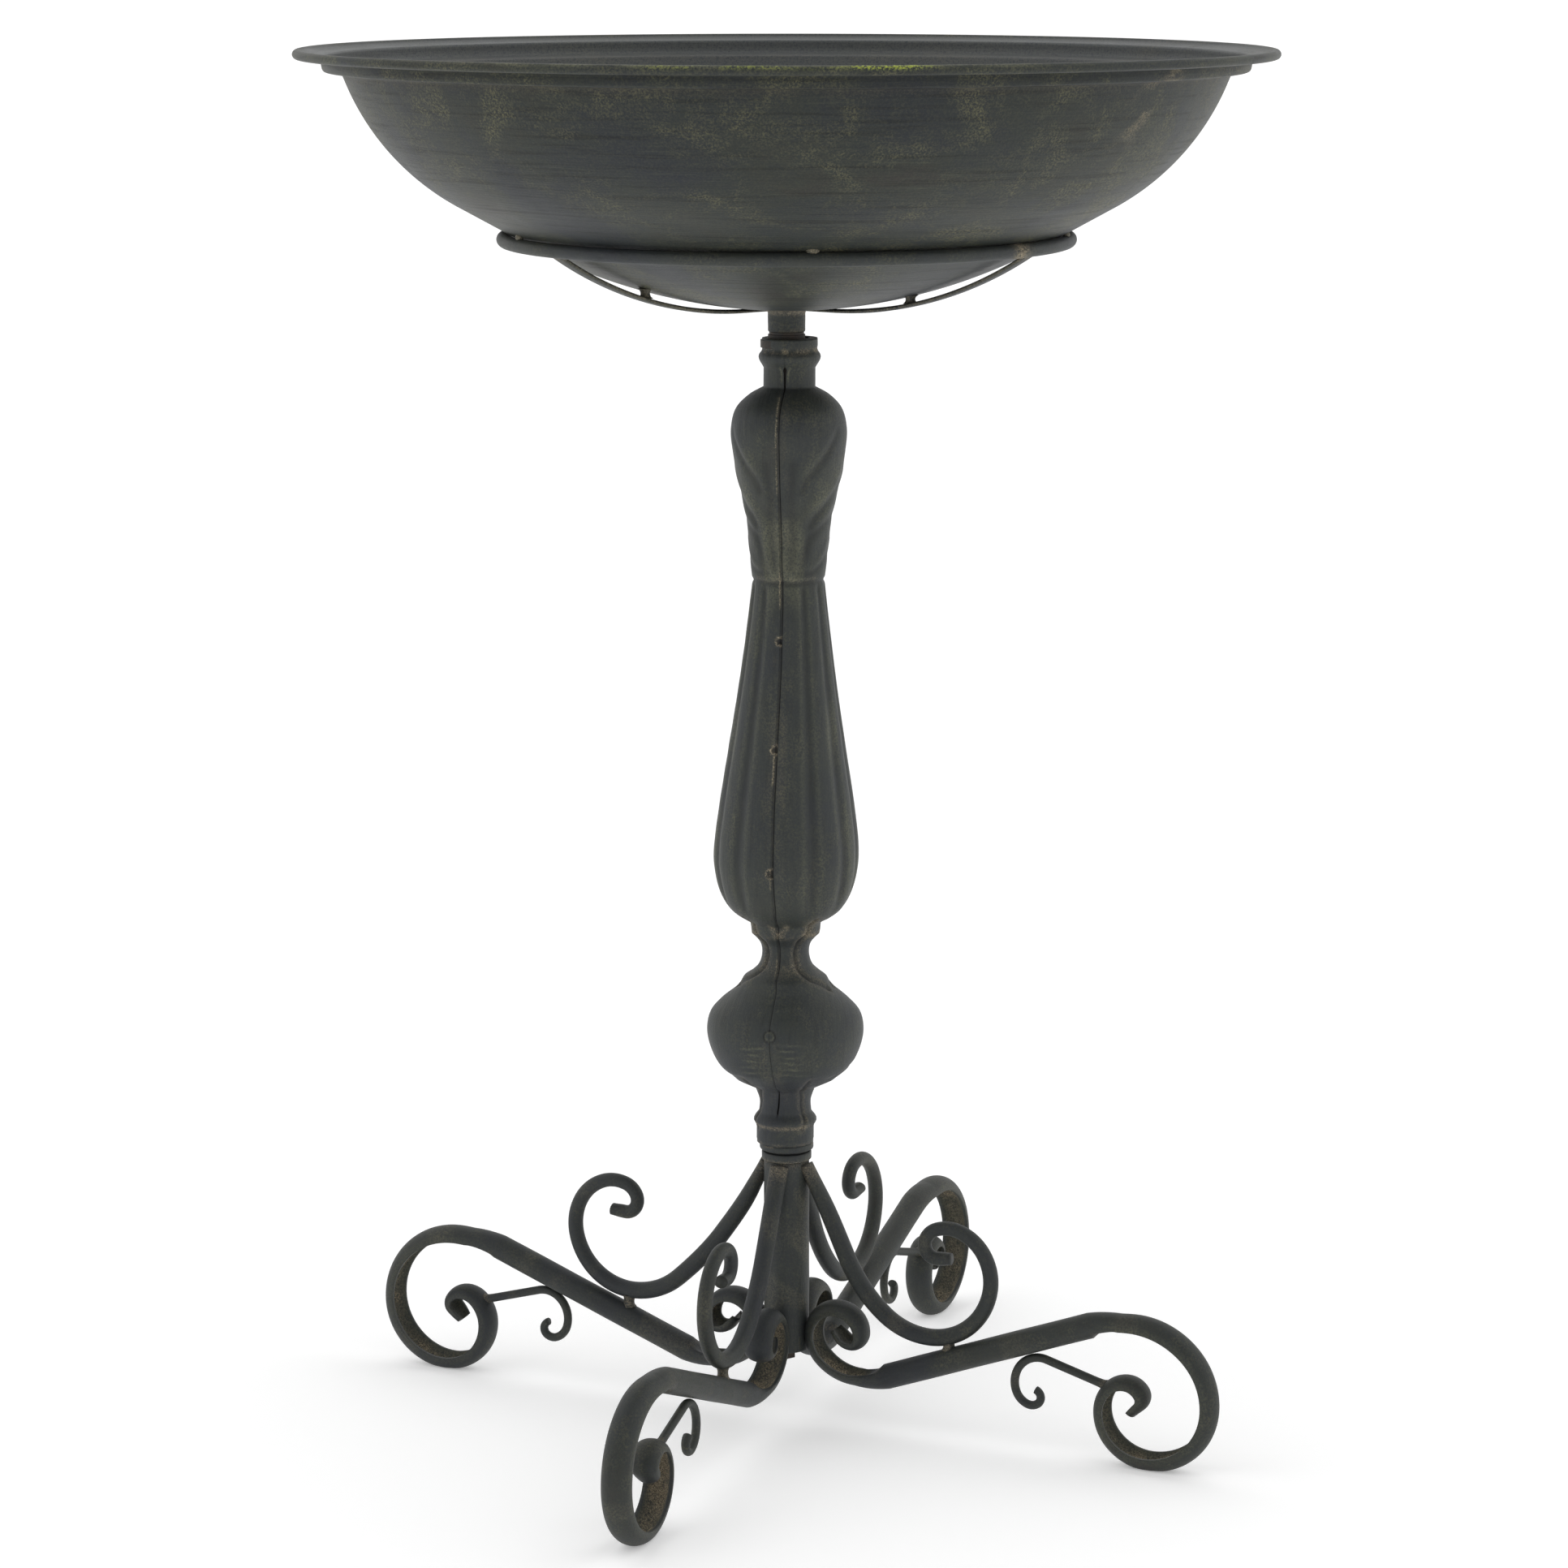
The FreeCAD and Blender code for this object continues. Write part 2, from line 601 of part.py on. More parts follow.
def bar_along(name, radius_alias, start, slope, run, bends):
    """Round bar bent along a run and a chain of bends."""
    geometry = walk(start, slope, [(run,)] + bends)[0]
    path = side_sketch(name + "_path", geometry)
    section = primitive("Circle", name + "_section", across(start, slope), Radius=radius_alias)
    return swept(name, section, path, len(geometry))


def leg_angle(index):
    """Legs stand square to each other, except the last, which is welded a little round."""
    count = int(size("leg_count"))
    skew = size("last_leg_skew") if index == count - 1 else 0.0
    return index * 360.0 / count + skew


def make_legs():
    """Four legs, each with its brace, tie rod and the stud between leg and brace."""
    blank, first, length = make_leg_blank()
    leg_cuts = make_leg_tools(first, length)
    brace_bar = bar_along("brace_bar", "brace_bar_radius",
                          (size("brace_start_radius"), size("brace_start_height")),
                          size("brace_slope_deg"), size("brace_run"), BRACE_BENDS)
    tie_bar = bar_along("tie_bar", "tie_bar_radius",
                        (size("tie_start_radius"), size("tie_start_height")),
                        size("tie_slope_deg"), size("tie_run"), TIE_BENDS)
    post_block = primitive("Cylinder", "post_block", Placement(Vector(), Rotation()),
                           Radius="post_radius")
    post_block.Height = size("post_flange_top")
    flange_block = primitive("Cylinder", "flange_block", lifted("post_flange_bottom"),
                             Radius="post_flange_radius")
    flange_block.Height = size("post_flange_top") - size("post_flange_bottom")
    brace_trims = fuse("brace_trims", [post_block, flange_block])
    stud_bar = primitive("Cylinder", "stud_bar",
                         Placement(Vector(size("stud_position"), 0, size("stud_bottom")), Rotation()),
                         Radius="stud_radius")
    stud_bar.Height = size("stud_top") - size("stud_bottom")
    stud_trims = fuse("stud_trims", [blank, brace_bar])
    nodes, studs = [], []
    for k in range(int(size("leg_count"))):
        turn = about_axis(leg_angle(k))
        leg = cut("leg_scroll_%d" % (k + 1), blank, leg_cuts)
        brace = cut("brace_scroll_%d" % (k + 1), brace_bar, brace_trims)
        tie = cut("tie_rod_%d" % (k + 1), tie_bar, blank)
        stud = cut("stud_%d" % (k + 1), stud_bar, stud_trims)
        for piece in (leg, brace, tie, stud):
            piece.Placement = turn
        nodes += [leg, brace, tie]
        studs.append(stud)
    group = doc.addObject("Part::Compound", "brace_studs")
    group.Links = studs
    return nodes + [group]


def check_document():
    for obj in doc.Objects:
        bad = [state for state in obj.State if state in ("Invalid", "Error")]
        if bad:
            raise RuntimeError("%s is %s" % (obj.Name, bad))


def export(nodes):
    """Write each sub-part to its own STEP file, named by its label."""
    os.makedirs("parts", exist_ok=True)
    for node in nodes:
        shape = node.Shape
        if shape.isNull() or not shape.isValid() or not shape.Solids:
            raise RuntimeError("%s has no valid solid" % node.Label)
        shape.exportStep("parts/%s.step" % node.Label)
        print("%-24s solids %d  volume %9.1f mm3  z %7.2f to %7.2f" % (
            node.Label, len(shape.Solids), shape.Volume, shape.BoundBox.ZMin, shape.BoundBox.ZMax))


def main():
    fill_sheet()
    basin = make_basin()
    basin_block = make_basin_block()
    cradle = make_cradle(basin_block)[0]
    joint, washer = make_plug_in_joint(basin_block)
    nodes = [basin] + cradle + joint + [washer] + make_column() + make_post() + make_legs()
    doc.recompute()
    check_document()
    export(nodes)


main()
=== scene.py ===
import json
import math

import bpy
import numpy as np
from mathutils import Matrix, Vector


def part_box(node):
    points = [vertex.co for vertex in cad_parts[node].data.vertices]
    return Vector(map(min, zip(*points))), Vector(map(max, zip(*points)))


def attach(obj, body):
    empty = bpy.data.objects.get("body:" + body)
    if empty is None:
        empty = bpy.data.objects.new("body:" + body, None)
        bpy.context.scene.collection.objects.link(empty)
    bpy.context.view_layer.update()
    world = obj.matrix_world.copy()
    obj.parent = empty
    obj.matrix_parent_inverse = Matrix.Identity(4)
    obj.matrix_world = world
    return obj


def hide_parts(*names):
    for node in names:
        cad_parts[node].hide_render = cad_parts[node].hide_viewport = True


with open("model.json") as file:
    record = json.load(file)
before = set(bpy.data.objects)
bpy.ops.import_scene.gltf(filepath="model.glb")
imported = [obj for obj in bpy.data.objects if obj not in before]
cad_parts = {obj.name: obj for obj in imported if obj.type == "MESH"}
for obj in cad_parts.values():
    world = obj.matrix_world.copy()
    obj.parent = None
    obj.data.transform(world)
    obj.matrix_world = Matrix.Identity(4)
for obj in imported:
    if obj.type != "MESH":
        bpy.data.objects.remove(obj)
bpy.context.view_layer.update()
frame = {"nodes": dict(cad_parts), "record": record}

MM = 0.001
TURN = 2 * math.pi

# Degrees that the camera stands round from -Y, and the same direction as an angle from +X.
# The front seam and other marks that belong to one side are measured from it.
CAMERA_AZIMUTH = 24.51
VIEW_ANGLE = CAMERA_AZIMUTH - 90
PEDESTAL, BASIN_UNIT = "pedestal", "basin_unit"


# ---- mesh helpers

def smooth(edge0, edge1, x):
    t = np.clip((x - edge0) / (edge1 - edge0), 0, 1)
    return t * t * (3 - 2 * t)


def bump_at(x, centre, width):
    return np.exp(-((x - centre) / width) ** 2)


def circle(count):
    """Angles of a full turn."""
    return np.linspace(0, TURN, count, endpoint=False)


def from_table(x, table):
    """Value at x of a table of (x, value) rows."""
    return np.interp(x, *np.array(table, float).T)


def run_along(points):
    """Distance along a polyline at each of its points."""
    return np.concatenate([[0], np.cumsum(np.linalg.norm(np.diff(points, axis=0), axis=1))])


def curve_through(points, spacing):
    """Smooth curve through the stations (centripetal Catmull-Rom), evenly sampled."""
    p = np.asarray(points, float)
    if len(p) == 2:
        count = max(2, int(math.dist(*p) / spacing) + 1)
        return p[0] + (p[1] - p[0]) * np.linspace(0, 1, count)[:, None]
    ext = np.vstack([2 * p[0] - p[1], p, 2 * p[-1] - p[-2]])
    steps = np.linalg.norm(np.diff(ext, axis=0), axis=1)
    knots = np.concatenate([[0], np.cumsum(steps ** 0.5)])
    fine = []
    for i in range(1, len(ext) - 2):
        t = np.linspace(knots[i], knots[i + 1], 40, endpoint=False)[:, None]
        points, span = list(ext[i - 1:i + 3]), knots[i - 1:i + 3]
        for low, high in ((span, span[1:]), (span, span[2:]), (span[1:], span[2:])):
            points = [(kb - t) / (kb - ka) * a + (t - ka) / (kb - ka) * b
                      for a, b, ka, kb in zip(points, points[1:], low, high)]
        fine.append(points[0])
    return resample(np.vstack(fine + [p[-1:]]), spacing)


def resample(points, spacing):
    run = run_along(points)
    at = np.linspace(0, run[-1], max(2, int(round(run[-1] / spacing)) + 1))
    return np.stack([np.interp(at, run, points[:, k]) for k in range(points.shape[1])], axis=1)


def profile_normals(profile):
    """Outward normal of a (radius, height) profile that runs with the outside on its right."""
    step = np.gradient(profile, axis=0)
    step /= np.maximum(np.linalg.norm(step, axis=1), 1e-9)[:, None]
    return np.stack([step[:, 1], -step[:, 0]], axis=1)


def grid_quads(rows, cols, wrap_cols=False, wrap_rows=False):
    r = np.arange(rows if wrap_rows else rows - 1)
    c = np.arange(cols if wrap_cols else cols - 1)
    rr, cc = np.meshgrid(r, c, indexing="ij")
    r1, c1 = (rr + 1) % rows, (cc + 1) % cols
    return np.stack([rr * cols + cc, rr * cols + c1, r1 * cols + c1, r1 * cols + cc],
                    axis=-1).reshape(-1, 4)


def closed_tube(rows, cols, flip=False):
    """Faces of a tube of rings with a cap at each end."""
    faces = grid_quads(rows, cols, wrap_cols=True).tolist()
    faces += [list(range(cols))[::-1], list(range((rows - 1) * cols, rows * cols))]
    return [face[::-1] for face in faces] if flip else faces


def make_mesh(name, points, faces, marks, body, nodes, slot, sharp=None):
    """Piece from a grid or list of points in mm.

    marks are the masks that the materials read, each a number or one value for each point.
    """
    shape = points.shape[:-1]
    mesh = bpy.data.meshes.new(name)
    mesh.from_pydata((points.reshape(-1, 3) * MM).tolist(), [], faces)
    mesh.update()
    marks = {"rust_and_glint": 0.0, "wear_and_highlight": 0.0, "painted_shade": 0.0, "grain": np.zeros(3), **marks}
    for key, values in marks.items():
        vector = key == "grain"
        values = np.broadcast_to(values, shape + (3,) if vector else shape).astype(np.float32)
        attribute = mesh.attributes.new(key, "FLOAT_VECTOR" if vector else "FLOAT", "POINT")
        attribute.data.foreach_set("vector" if vector else "value", values.ravel())
    mesh.polygons.foreach_set("use_smooth", [True] * len(mesh.polygons))
    if sharp:
        mesh.set_sharp_from_angle(angle=math.radians(sharp))
    mesh.materials.append(FINISHES[slot])
    obj = bpy.data.objects.new(name, mesh)
    bpy.context.scene.collection.objects.link(obj)
    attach(obj, body)
    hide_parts(*nodes)


def waves(x, y, reach, count, seed, x_period=None):
    """Smooth random field from a sum of sine waves, about -1 to 1."""
    r = np.random.default_rng(seed)
    total = np.zeros(np.broadcast(x, y).shape)
    for _ in range(count):
        fx, fy = r.normal(0, 1 / reach, 2)
        if x_period:
            fx = round(fx * x_period / TURN) * TURN / x_period
        total += np.sin(fx * x + fy * y + r.uniform(0, TURN))
    return total / math.sqrt(count) * 0.7


def revolve(name, profile, columns, body, nodes, slot, displace, masks, sharp=None):
    """Full turn of a profile; displace(angle, radius, height) gives mm along the normal."""
    angles = circle(columns)
    normals = profile_normals(profile)
    rows = len(profile)
    a, row = np.meshgrid(angles, np.arange(rows))
    radius, height = profile[row, 0], profile[row, 1]
    shift = displace(a, radius, height)
    r = radius + shift * normals[row, 0]
    z = height + shift * normals[row, 1]
    points = np.stack([r * np.cos(a), r * np.sin(a), z], axis=-1)
    grain = np.stack([a * np.maximum(radius, 1), run_along(profile)[row], 0 * a], axis=-1)
    marks = {"grain": grain * MM, **masks(a, radius, height)}
    faces = grid_quads(rows, columns, wrap_cols=True)
    make_mesh(name, points, faces.tolist(), marks, body, nodes, slot, sharp)


# ---- materials

class Shader:
    """Thin wrapper over one material's node tree."""

    def __init__(self, name):
        self.material = bpy.data.materials.new(name)
        self.material.use_nodes = True
        self.tree = self.material.node_tree
        self.principled = self.tree.nodes["Principled BSDF"]
        self.object_coords = self.node("ShaderNodeTexCoord").outputs["Object"]
        self.grain = self.attribute("grain", "Vector")

    def node(self, kind, **settings):
        made = self.tree.nodes.new(kind)
        for key, value in settings.items():
            setattr(made, key, value)
        return made

    def link(self, source, socket):
        if isinstance(source, bpy.types.NodeSocket):
            self.tree.links.new(source, socket)
        else:
            socket.default_value = source

    def attribute(self, name, output="Fac"):
        return self.node("ShaderNodeAttribute", attribute_name=name).outputs[output]

    def noise(self, scale, detail=4.0, roughness=0.55, stretch=None, coords=None, distortion=0.0):
        coords = coords or self.object_coords
        if stretch:
            mapping = self.node("ShaderNodeMapping")
            self.link(coords, mapping.inputs["Vector"])
            mapping.inputs["Scale"].default_value = stretch
            coords = mapping.outputs["Vector"]
        tex = self.node("ShaderNodeTexNoise")
        self.link(coords, tex.inputs["Vector"])
        tex.inputs["Scale"].default_value = scale
        tex.inputs["Detail"].default_value = detail
        tex.inputs["Roughness"].default_value = roughness
        tex.inputs["Distortion"].default_value = distortion
        return tex.outputs["Fac"]

    def step(self, value, low, high):
        made = self.node("ShaderNodeMapRange", interpolation_type="SMOOTHSTEP")
        self.link(value, made.inputs["Value"])
        made.inputs["From Min"].default_value = low
        made.inputs["From Max"].default_value = high
        return made.outputs["Result"]

    def math(self, operation, a, b):
        made = self.node("ShaderNodeMath", operation=operation)
        self.link(a, made.inputs[0])
        self.link(b, made.inputs[1])
        return made.outputs["Value"]

    def times(self, a, b):
        return self.math("MULTIPLY", a, b)

    def plus(self, a, b):
        return self.math("ADD", a, b)

    def mix(self, factor, a, b):
        made = self.node("ShaderNodeMix", data_type="RGBA")
        self.link(factor, made.inputs["Factor"])
        self.link(a, made.inputs["A"])
        self.link(b, made.inputs["B"])
        return made.outputs["Result"]

    def bump(self, height, strength, distance, normal=None):
        made = self.node("ShaderNodeBump")
        self.link(height, made.inputs["Height"])
        made.inputs["Strength"].default_value = strength
        made.inputs["Distance"].default_value = distance
        if normal:
            self.link(normal, made.inputs["Normal"])
        return made.outputs["Normal"]

    def finish(self, colour, roughness, normal):
        for key, value in (("Base Color", colour), ("Roughness", roughness), ("Normal", normal)):
            self.link(value, self.principled.inputs[key])
        return self.material


def rgb(*srgb):
    """Linear colour from an sRGB triple of 0 to 255."""
    c = np.array(srgb) / 255
    linear = np.where(c <= 0.04045, c / 12.92, ((c + 0.055) / 1.055) ** 2.4)
    return (*[float(v) for v in linear], 1.0)


SLATE = rgb(45, 49, 51)
SLATE_BLUE = rgb(40, 44, 50)
GREEN = rgb(49, 54, 48)
BROWN = rgb(52, 48, 47)
OLIVE = rgb(100, 98, 74)
PALE_LINE = rgb(72, 76, 64)
WORN_AND_HIGHLIGHT = rgb(98, 99, 80)
RUST_AND_GLINT = rgb(108, 100, 84)
TAN = rgb(186, 172, 146)
DARK = rgb(22, 23, 24)
LIME = rgb(160, 172, 66)
FADED = rgb(106, 109, 113)
BLACK = (0.0, 0.0, 0.0, 1.0)


def patina(name, brush, olive, streak, rough=0.5, cloud_scale=38.0, line_scale=220.0,
           cloud_stretch=(1.0, 1.0, 1.0), shade=0.0, gloss=0.38):
    """Dark painted steel: slate over green, olive mottling, rust in the marked hollows; the marks
    also paint shade into creases, grooves and joints, and highlights and glints in lighter
    colours.
    """
    s = Shader(name)
    broad = s.noise(6.0, 5.0, 0.7, distortion=0.5)
    cloud = s.noise(cloud_scale, 6.0, 0.66, stretch=cloud_stretch, distortion=0.7)
    fine = s.noise(680.0, 4.0, 0.75)
    dots = s.noise(1500.0, 2.0, 0.6)
    lines = s.noise(line_scale, 4.0, 0.68, stretch=brush, coords=s.grain)
    hair = s.noise(line_scale * 3.2, 3.0, 0.6, stretch=brush, coords=s.grain)
    colour = s.mix(s.step(broad, 0.36, 0.62), SLATE_BLUE, GREEN)
    colour = s.mix(s.times(s.step(cloud, 0.3, 0.7), 0.7), colour, SLATE)
    brown = s.times(s.step(broad, 0.5, 0.7), s.step(cloud, 0.55, 0.42))
    colour = s.mix(s.times(brown, 0.6), colour, BROWN)
    strokes = s.times(s.step(lines, 0.5, 0.66), streak)
    colour = s.mix(strokes, colour, DARK)
    pale = s.times(s.step(hair, 0.54, 0.7), s.step(lines, 0.52, 0.4))
    colour = s.mix(s.times(pale, streak), colour, PALE_LINE)
    patch = s.times(s.step(cloud, 0.42, 0.68), s.step(broad, 0.40, 0.56))
    speck = s.times(s.step(fine, 0.42, 0.64), s.plus(patch, 0.14))
    colour = s.mix(s.math("MINIMUM", s.times(speck, olive), 1.0), colour, OLIVE)
    faded = s.times(s.attribute("faded"), s.step(fine, 0.1, 0.6))
    colour = s.mix(faded, colour, FADED)
    # this mark holds real wear and painted highlights, both in the worn colour
    wear_and_highlight = s.times(s.attribute("wear_and_highlight"), s.step(fine, 0.3, 0.62))
    colour = s.mix(s.math("MINIMUM", wear_and_highlight, 1.0), colour, WORN_AND_HIGHLIGHT)
    # painted shade: this mark darkens creases, grooves, gaps and joints towards DARK
    colour = s.mix(s.math("MINIMUM", s.attribute("painted_shade"), 0.92), colour, DARK)
    grit = s.plus(s.times(fine, 0.9), s.times(cloud, 0.5))
    # this mark holds real rust and, on the ring, painted glints in the same tints
    rust_and_glint = s.times(s.attribute("rust_and_glint"), s.step(grit, 0.55, 0.82))
    rust_and_glint_tint = s.mix(s.step(dots, 0.4, 0.65), RUST_AND_GLINT, TAN)
    colour = s.mix(s.math("MINIMUM", rust_and_glint, 0.95), colour, rust_and_glint_tint)
    lime = s.times(s.attribute("lime"), s.step(fine, 0.46, 0.58))
    colour = s.mix(lime, colour, LIME)
    colour = s.mix(shade, colour, BLACK)
    level = s.plus(s.times(cloud, 0.24), rough - 0.06)
    level = s.plus(level, s.times(rust_and_glint, 0.25))
    level = s.plus(level, s.times(strokes, 0.1))
    s.principled.inputs["Specular IOR Level"].default_value = gloss
    n = s.bump(s.plus(hair, s.times(lines, 1.6)), 0.3, 0.0005)
    n = s.bump(s.plus(fine, s.times(dots, 0.5)), 0.35, 0.0004, n)
    n = s.bump(s.times(rust_and_glint, fine), 0.5, 0.0008, n)
    return s.finish(colour, level, n)


def bare_metal(name, colour, rough, metallic, tint):
    s = Shader(name)
    cloud = s.noise(60.0, 5.0, 0.6)
    fine = s.noise(500.0, 3.0, 0.6)
    mixed = s.mix(s.step(cloud, 0.35, 0.7), colour, tint)
    mixed = s.mix(s.times(s.step(fine, 0.5, 0.7), 0.4), mixed, DARK)
    level = s.plus(s.times(cloud, 0.3), rough - 0.15)
    s.principled.inputs["Metallic"].default_value = metallic
    return s.finish(mixed, level, s.bump(fine, 0.25, 0.0004))


# The material of each of the record's slots.
FINISHES = {
    "basin_patina": patina("basin_patina", brush=(0.04, 1.0, 1.0), olive=0.9, streak=0.45,
                           rough=0.42, cloud_scale=22.0, shade=0.05, gloss=0.2),
    "cradle_patina": patina("cradle_patina", brush=(0.3, 1.0, 1.0), olive=0.35, streak=0.3),
    "column_patina": patina("column_patina", brush=(1.0, 0.12, 1.0), olive=0.4, streak=0.22,
                            cloud_scale=46.0, line_scale=260.0, cloud_stretch=(1.0, 1.0, 0.35)),
    "scroll_patina": patina("scroll_patina", brush=(1.0, 0.15, 1.0), olive=0.4, streak=0.2,
                            cloud_scale=70.0, shade=0.18),
    "zinc_plate": bare_metal("zinc_plate", rgb(120, 124, 128), 0.42, 0.9, rgb(150, 150, 146)),
    "plain_steel": bare_metal("plain_steel", rgb(46, 44, 42), 0.6, 0.3, rgb(70, 58, 46)),
}


# ---- sizes read from the frame

def node_box_mm(node):
    low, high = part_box(node)
    return np.array(low) / MM, np.array(high) / MM


basin_low, basin_high = node_box_mm("basin")
RIM_RADIUS = basin_high[0]
RIM_TOP = basin_high[2]
BASIN_FLOOR = basin_low[2]
ring_low, ring_high = node_box_mm("support_ring")
RING_BAR = (ring_high[2] - ring_low[2]) / 2
RING_Z = (ring_high[2] + ring_low[2]) / 2
RING_RADIUS = ring_high[0] - RING_BAR
sleeve_low, sleeve_high = node_box_mm("socket_sleeve")
SLEEVE_RADIUS = sleeve_high[0]
SHELL_FOOT = node_box_mm("baluster_shell_left")[0][2]
post_low, post_high = node_box_mm("base_post")
flange_low, flange_high = node_box_mm("post_flange")
joint_low, joint_high = node_box_mm("joint_ring")


# ---- basin

# The pressed bowl as the CAD makes it, in mm: sheet and bead, the upright band, the floor's
# curve, the straight flank between two radii, and the curve above it up to the ledge.
SHEET, BEAD = 1.5, 3.2
BAND_RADIUS = 311.0
BOWL_RADIUS = 365.0
FLANK_START, FLANK_END = 175.0, 222.0
SHOULDER_RADIUS, BOWL_EDGE = 163.3, 296.5
BOWL_LEAN = math.asin(FLANK_START / BOWL_RADIUS)
INWARD = np.array([-math.sin(BOWL_LEAN), math.cos(BOWL_LEAN)])


def bowl_height(radius):
    """Height of the outside of the bowl's floor and flank."""
    centre_z = BASIN_FLOOR + BOWL_RADIUS
    floor = centre_z - np.sqrt(BOWL_RADIUS ** 2 - np.minimum(radius, FLANK_START) ** 2)
    return floor + np.maximum(radius - FLANK_START, 0) * math.tan(BOWL_LEAN)


def bowl_line(shift):
    """Bowl from the axis to the ledge, as the CAD has it, moved inwards by shift."""
    inner = BOWL_RADIUS - shift
    t = np.linspace(0.002, BOWL_LEAN, 70)
    floor = np.stack([inner * np.sin(t), BASIN_FLOOR + BOWL_RADIUS - inner * np.cos(t)], 1)
    flank_end = np.array([FLANK_END, bowl_height(FLANK_END)])
    flank = floor[-1] + np.linspace(0, 1, 13)[1:, None] * (flank_end + shift * INWARD - floor[-1])
    mid = flank_end + INWARD * SHOULDER_RADIUS
    t = np.linspace(BOWL_LEAN, math.asin((BOWL_EDGE - mid[0]) / SHOULDER_RADIUS), 50)[1:]
    side = mid + (SHOULDER_RADIUS - shift) * np.stack([np.sin(t), -np.cos(t)], 1)
    return np.vstack([floor, flank, side])


def rounded(points, radius, steps=5):
    """Polyline with its inner corners rounded off."""
    p = [np.array(q, float) for q in points]
    out = [p[0]]
    for before, corner, after in zip(p, p[1:], p[2:]):
        a, b = before - corner, after - corner
        reach = min(radius, 0.45 * np.linalg.norm(a), 0.45 * np.linalg.norm(b))
        start = corner + a / np.linalg.norm(a) * reach
        end = corner + b / np.linalg.norm(b) * reach
        for t in np.linspace(0, 1, steps):
            out.append((1 - t) ** 2 * start + 2 * t * (1 - t) * corner + t * t * end)
    out.append(p[-1])
    return np.array(out)


def make_basin():
    outside, inside = bowl_line(0.0), bowl_line(SHEET)
    bead_mid = np.array([RIM_RADIUS - BEAD, RIM_TOP - BEAD])
    ledge_z = outside[-1, 1] + 4.5
    flange_z = bead_mid[1] - 1.0
    lip = np.arcsin((SHEET / 2) / BEAD)
    t = np.linspace(math.pi + lip, TURN + math.pi - lip, 26)
    bead = bead_mid + BEAD * np.stack([np.cos(t), np.sin(t)], 1)
    ledge_rise = (1.5, 3.4)
    outer_step = rounded([outside[-2], outside[-1] + ledge_rise,
                          (BAND_RADIUS - 1.2, ledge_z - 0.6), (BAND_RADIUS, ledge_z + 3.0),
                          (BAND_RADIUS, flange_z - SHEET), bead[0]], 2.2)[1:]
    inner_step = rounded([bead[-1], (BAND_RADIUS - SHEET, flange_z),
                          (BAND_RADIUS - SHEET, ledge_z + 3.0 + SHEET),
                          (BAND_RADIUS - 2.7, ledge_z - 0.6 + SHEET), inside[-1] + ledge_rise,
                          inside[-2]], 2.0)[1:-1]
    profile = np.vstack([outside[:-1], outer_step, bead[1:-1], inner_step, inside[::-1][1:]])
    turned = len(outside) + len(outer_step) + len(bead) // 2
    row_side = np.where(np.arange(len(profile)) < turned, 1.0, 0.0)

    def displace(a, radius, height):
        x, y = np.cos(a) * radius, np.sin(a) * radius
        below_lip = 1 - smooth(BAND_RADIUS - 14, RIM_RADIUS, radius)
        soft, dents = waves(x, y, 130.0, 8, 5), waves(x, y, 45.0, 10, 6)
        return 0.35 * soft * below_lip + 0.10 * dents * below_lip - 0.1

    def masks(a, radius, height):
        x, y = np.cos(a) * radius, np.sin(a) * radius
        arc = a * 320
        on_rim = smooth(RIM_RADIUS - 7, RIM_RADIUS - 4, radius)
        # degrees to the right of the front
        across = np.degrees((a - math.radians(VIEW_ANGLE) + math.pi) % TURN - math.pi)
        on_lip = smooth(RIM_RADIUS - 5.5, RIM_RADIUS - 3.5, radius)
        on_lip = on_lip * bump_at(height, RIM_TOP - 0.4, 1.6)
        specks = waves(arc * 0.4, radius * 2, 3.0, 14, 7, x_period=TURN * 128)
        specks = smooth(-0.1, 0.6, specks)
        # lime scale on the front of the lip
        window = 0.35 * smooth(-17, -13, across) * (1 - smooth(15, 17, across))
        window = window + smooth(6.5, 8.5, across) * (1 - smooth(13, 15, across))
        lime = 1.3 * on_lip * specks * window
        # painted highlight along the top of the front lip, broken into pieces; it goes into the
        # wear mark
        painted_highlight = smooth(-40, -34, across) * (1 - smooth(24, 30, across)) * on_lip
        broken = waves(arc * 0.2, radius, 3.0, 12, 17, x_period=TURN * 64)
        painted_highlight = painted_highlight * smooth(-0.6, 0.3, broken)
        # painted shade in the corner where the bowl meets the band, with a little real rust
        ledge = bump_at(radius, BOWL_EDGE + 3, 5) * bump_at(height, outside[-1, 1] + 3, 4)
        beside = (across - 52.5) * math.radians(1) * BAND_RADIUS
        # the bare chip on the band's right, and the smear beside it
        chip = bump_at(beside, 0, 5.5) * bump_at(radius, BAND_RADIUS, 2.5)
        chip = chip * smooth(-0.6, 0.4, waves(arc, height, 2.2, 12, 9))
        outer_face = row_side[:, None]
        smear = bump_at(beside, -8, 12) * bump_at(height, RIM_TOP - 34, 24) * outer_face
        smear = smear * smooth(0.0, 0.7, waves(arc, height, 5.0, 12, 19))
        inside_stain = smooth(0, 1, 0.7 + 0.6 * waves(x, y, 50.0, 12, 8))
        inside_stain = (1 - outer_face) * inside_stain * 0.35
        inside_face = (1 - outer_face) * (1 - on_rim)
        # the wear mark here is real wear on the rim, chip, smear and inner face, plus the painted
        # lip highlight
        wear_and_highlight = 0.12 * on_rim + 0.9 * chip + 0.8 * painted_highlight + 0.3 * smear + 0.25 * inside_face
        rust_and_glint = 0.1 * ledge + 0.25 * inside_stain * smooth(0.0, 0.9, waves(x, y, 22.0, 12, 18))
        return {"lime": lime, "wear_and_highlight": wear_and_highlight, "rust_and_glint": rust_and_glint + 0.8 * chip + 0.6 * smear,
                "painted_shade": 0.35 * ledge, "faded": (0.9 - 0.5 * inside_stain) * inside_face}

    revolve("basin_bowl", profile, 360, BASIN_UNIT, ["basin"], "basin_patina",
            displace, masks)


# ---- cradle

